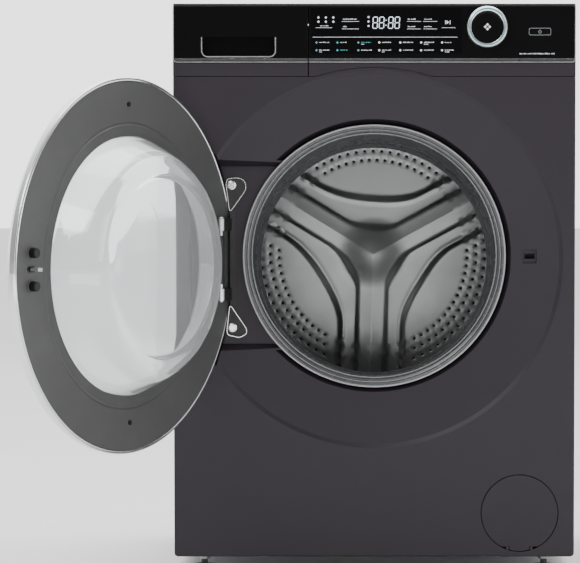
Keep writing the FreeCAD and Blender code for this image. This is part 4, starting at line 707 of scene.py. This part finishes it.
# a dark strip behind the seam between the front panel and the strips above it: painted shade in the gap
seam = bmesh.new()
seam_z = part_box("drawer_strip")[0].z / MM
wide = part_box("front_panel")[1].x / MM - 8
prism(seam, [(-wide, seam_z - 6), (wide, seam_z - 6), (wide, seam_z + 6), (-wide, seam_z + 6)],
      FRONT_Y + 14.2 * MM, FRONT_Y + 14.8 * MM)
piece("seam_shade_strip", seam, DARK, "cabinet")

# the bright line under the console, which turns up at both ends, and the fainter one above it
TRIM_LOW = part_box("console_trim")[0].z / MM
TRIM_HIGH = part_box("control_panel")[0].z / MM
TRIM_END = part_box("console_trim")[1].x / MM - 0.75
TRIM_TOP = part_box("control_panel")[1].z / MM - 0.6
TRIM_BEND = 5


def bright_lines(side, inner_x):
    """One side's two lines, from inner_x out to the end on that side, which is -1 or 1."""
    bm = bmesh.new()
    low_z = TRIM_LOW + 0.8
    bend_x = side * (TRIM_END - TRIM_BEND)
    points = [(inner_x, low_z), (bend_x, low_z)]
    points += circle_points(bend_x, low_z + TRIM_BEND, TRIM_BEND, 270, 360 if side > 0 else 180, 10)
    points += [(side * TRIM_END, TRIM_TOP)]
    stroke(bm, points, 1.25, FRONT_Y - 0.95 * MM, FRONT_Y - 0.4 * MM)
    high_z = TRIM_HIGH - 0.5
    points = [(inner_x, high_z), (side * (TRIM_END - 1.5), high_z)]
    stroke(bm, points, 0.45, FRONT_Y - 0.75 * MM, FRONT_Y - 0.4 * MM)
    return bm


piece("drawer_bright_line", bright_lines(-1, -98.6), SILVER, "drawer")
piece("console_bright_line", bright_lines(1, -96.7), SILVER, "cabinet")

# the silver line around the drawer's grip
GRIP_LEFT, GRIP_RIGHT, GRIP_LOW, GRIP_HIGH, GRIP_CORNER = -255.0, -146.0, 771.6, 800.5, 9
grip = bmesh.new()
corner_z = GRIP_LOW + GRIP_CORNER
path = [(GRIP_LEFT, GRIP_HIGH), (GRIP_LEFT, corner_z)]
path += circle_points(GRIP_LEFT + GRIP_CORNER, corner_z, GRIP_CORNER, 180, 270, 10)
path += circle_points(GRIP_RIGHT - GRIP_CORNER, corner_z, GRIP_CORNER, 270, 360, 10)
path += [(GRIP_RIGHT, GRIP_HIGH)]
stroke(grip, path, 1.7, FRONT_Y - 0.5 * MM, FRONT_Y + 4 * MM)
piece("grip_trim", grip, SILVER, "drawer")


# ------------------------------------------------------------------ camera, light and floor
def aimed(obj, place, target):
    """Puts a camera or a lamp in its place, facing the target."""
    obj.location = place
    obj.rotation_euler = (Vector(target) - Vector(place)).to_track_quat("-Z", "Y").to_euler()
    bpy.context.scene.collection.objects.link(obj)
    return obj


CAMERA_BACK = 4.75  # metres from the front
CAMERA_PLACE = Vector((-0.025, FRONT_Y + 0.005 - CAMERA_BACK, 0.691))
CAMERA_DROP = math.radians(3.036)
VIEW_WIDTH = 0.85926  # metres that the picture spans at the front
lens = bpy.data.cameras.new("camera")
lens.sensor_width = 36
lens.lens = lens.sensor_width * CAMERA_BACK / VIEW_WIDTH
lens.shift_x = -0.11621
lens.clip_end = 60
camera = aimed(bpy.data.objects.new("camera", lens), CAMERA_PLACE,
               CAMERA_PLACE + Vector((0, math.cos(CAMERA_DROP), -math.sin(CAMERA_DROP))))
bpy.context.scene.camera = camera


def softbox(name, place, target, size, power):
    """A white area lamp, with its width and height in metres and its power in watts."""
    lamp = bpy.data.lights.new(name, "AREA")
    lamp.shape = "RECTANGLE"
    lamp.size, lamp.size_y = size
    lamp.energy = power
    return aimed(bpy.data.objects.new(name, lamp), place, target)


softbox("key", (-1.5, -2.6, 2.7), (0, 0, 0.5), (2.4, 1.2), 62)
softbox("fill", (2.6, -2.6, 1.6), (0, 0, 0.4), (1.0, 2.0), 24)
softbox("top", (0, 0.2, 3.2), (0, 0, 0.4), (3.0, 2.0), 60)
softbox("low_front", (0.3, -2.4, 0.05), (0, -0.2, 0.4), (2.4, 0.5), 10)
softbox("behind", (0, 3.6, 2.4), (0, 0, 0.5), (3.0, 2.0), 25)

# a pale room that is brighter behind the machine than on the camera's side
world = bpy.data.worlds.new("studio")
world.use_nodes = True
sky = world.node_tree
direction = sky.nodes.new("ShaderNodeTexCoord")
split = sky.nodes.new("ShaderNodeSeparateXYZ")
fade = sky.nodes.new("ShaderNodeMapRange")
fade.interpolation_type = "SMOOTHSTEP"
for socket, value in (("From Min", -0.55), ("From Max", 0.75), ("To Min", 0.30), ("To Max", 2.6)):
    fade.inputs[socket].default_value = value
sky.links.new(direction.outputs["Generated"], split.inputs["Vector"])
sky.links.new(split.outputs["Y"], fade.inputs["Value"])
sky.links.new(fade.outputs["Result"], sky.nodes["Background"].inputs["Strength"])
sky.nodes["Background"].inputs["Color"].default_value = (1, 1, 1, 1)
bpy.context.scene.world = world

ground = bmesh.new()
bmesh.ops.create_grid(ground, x_segments=8, y_segments=8, size=14)
floor_mesh = bpy.data.meshes.new("floor")
ground.to_mesh(floor_mesh)
ground.free()
floor = bpy.data.objects.new("floor", floor_mesh)
bpy.context.scene.collection.objects.link(floor)
floor_mesh.materials.append(finish_of("floor_pale", (0.88, 0.88, 0.88), 0.6, tone=0.01, grain_depth=0.02))
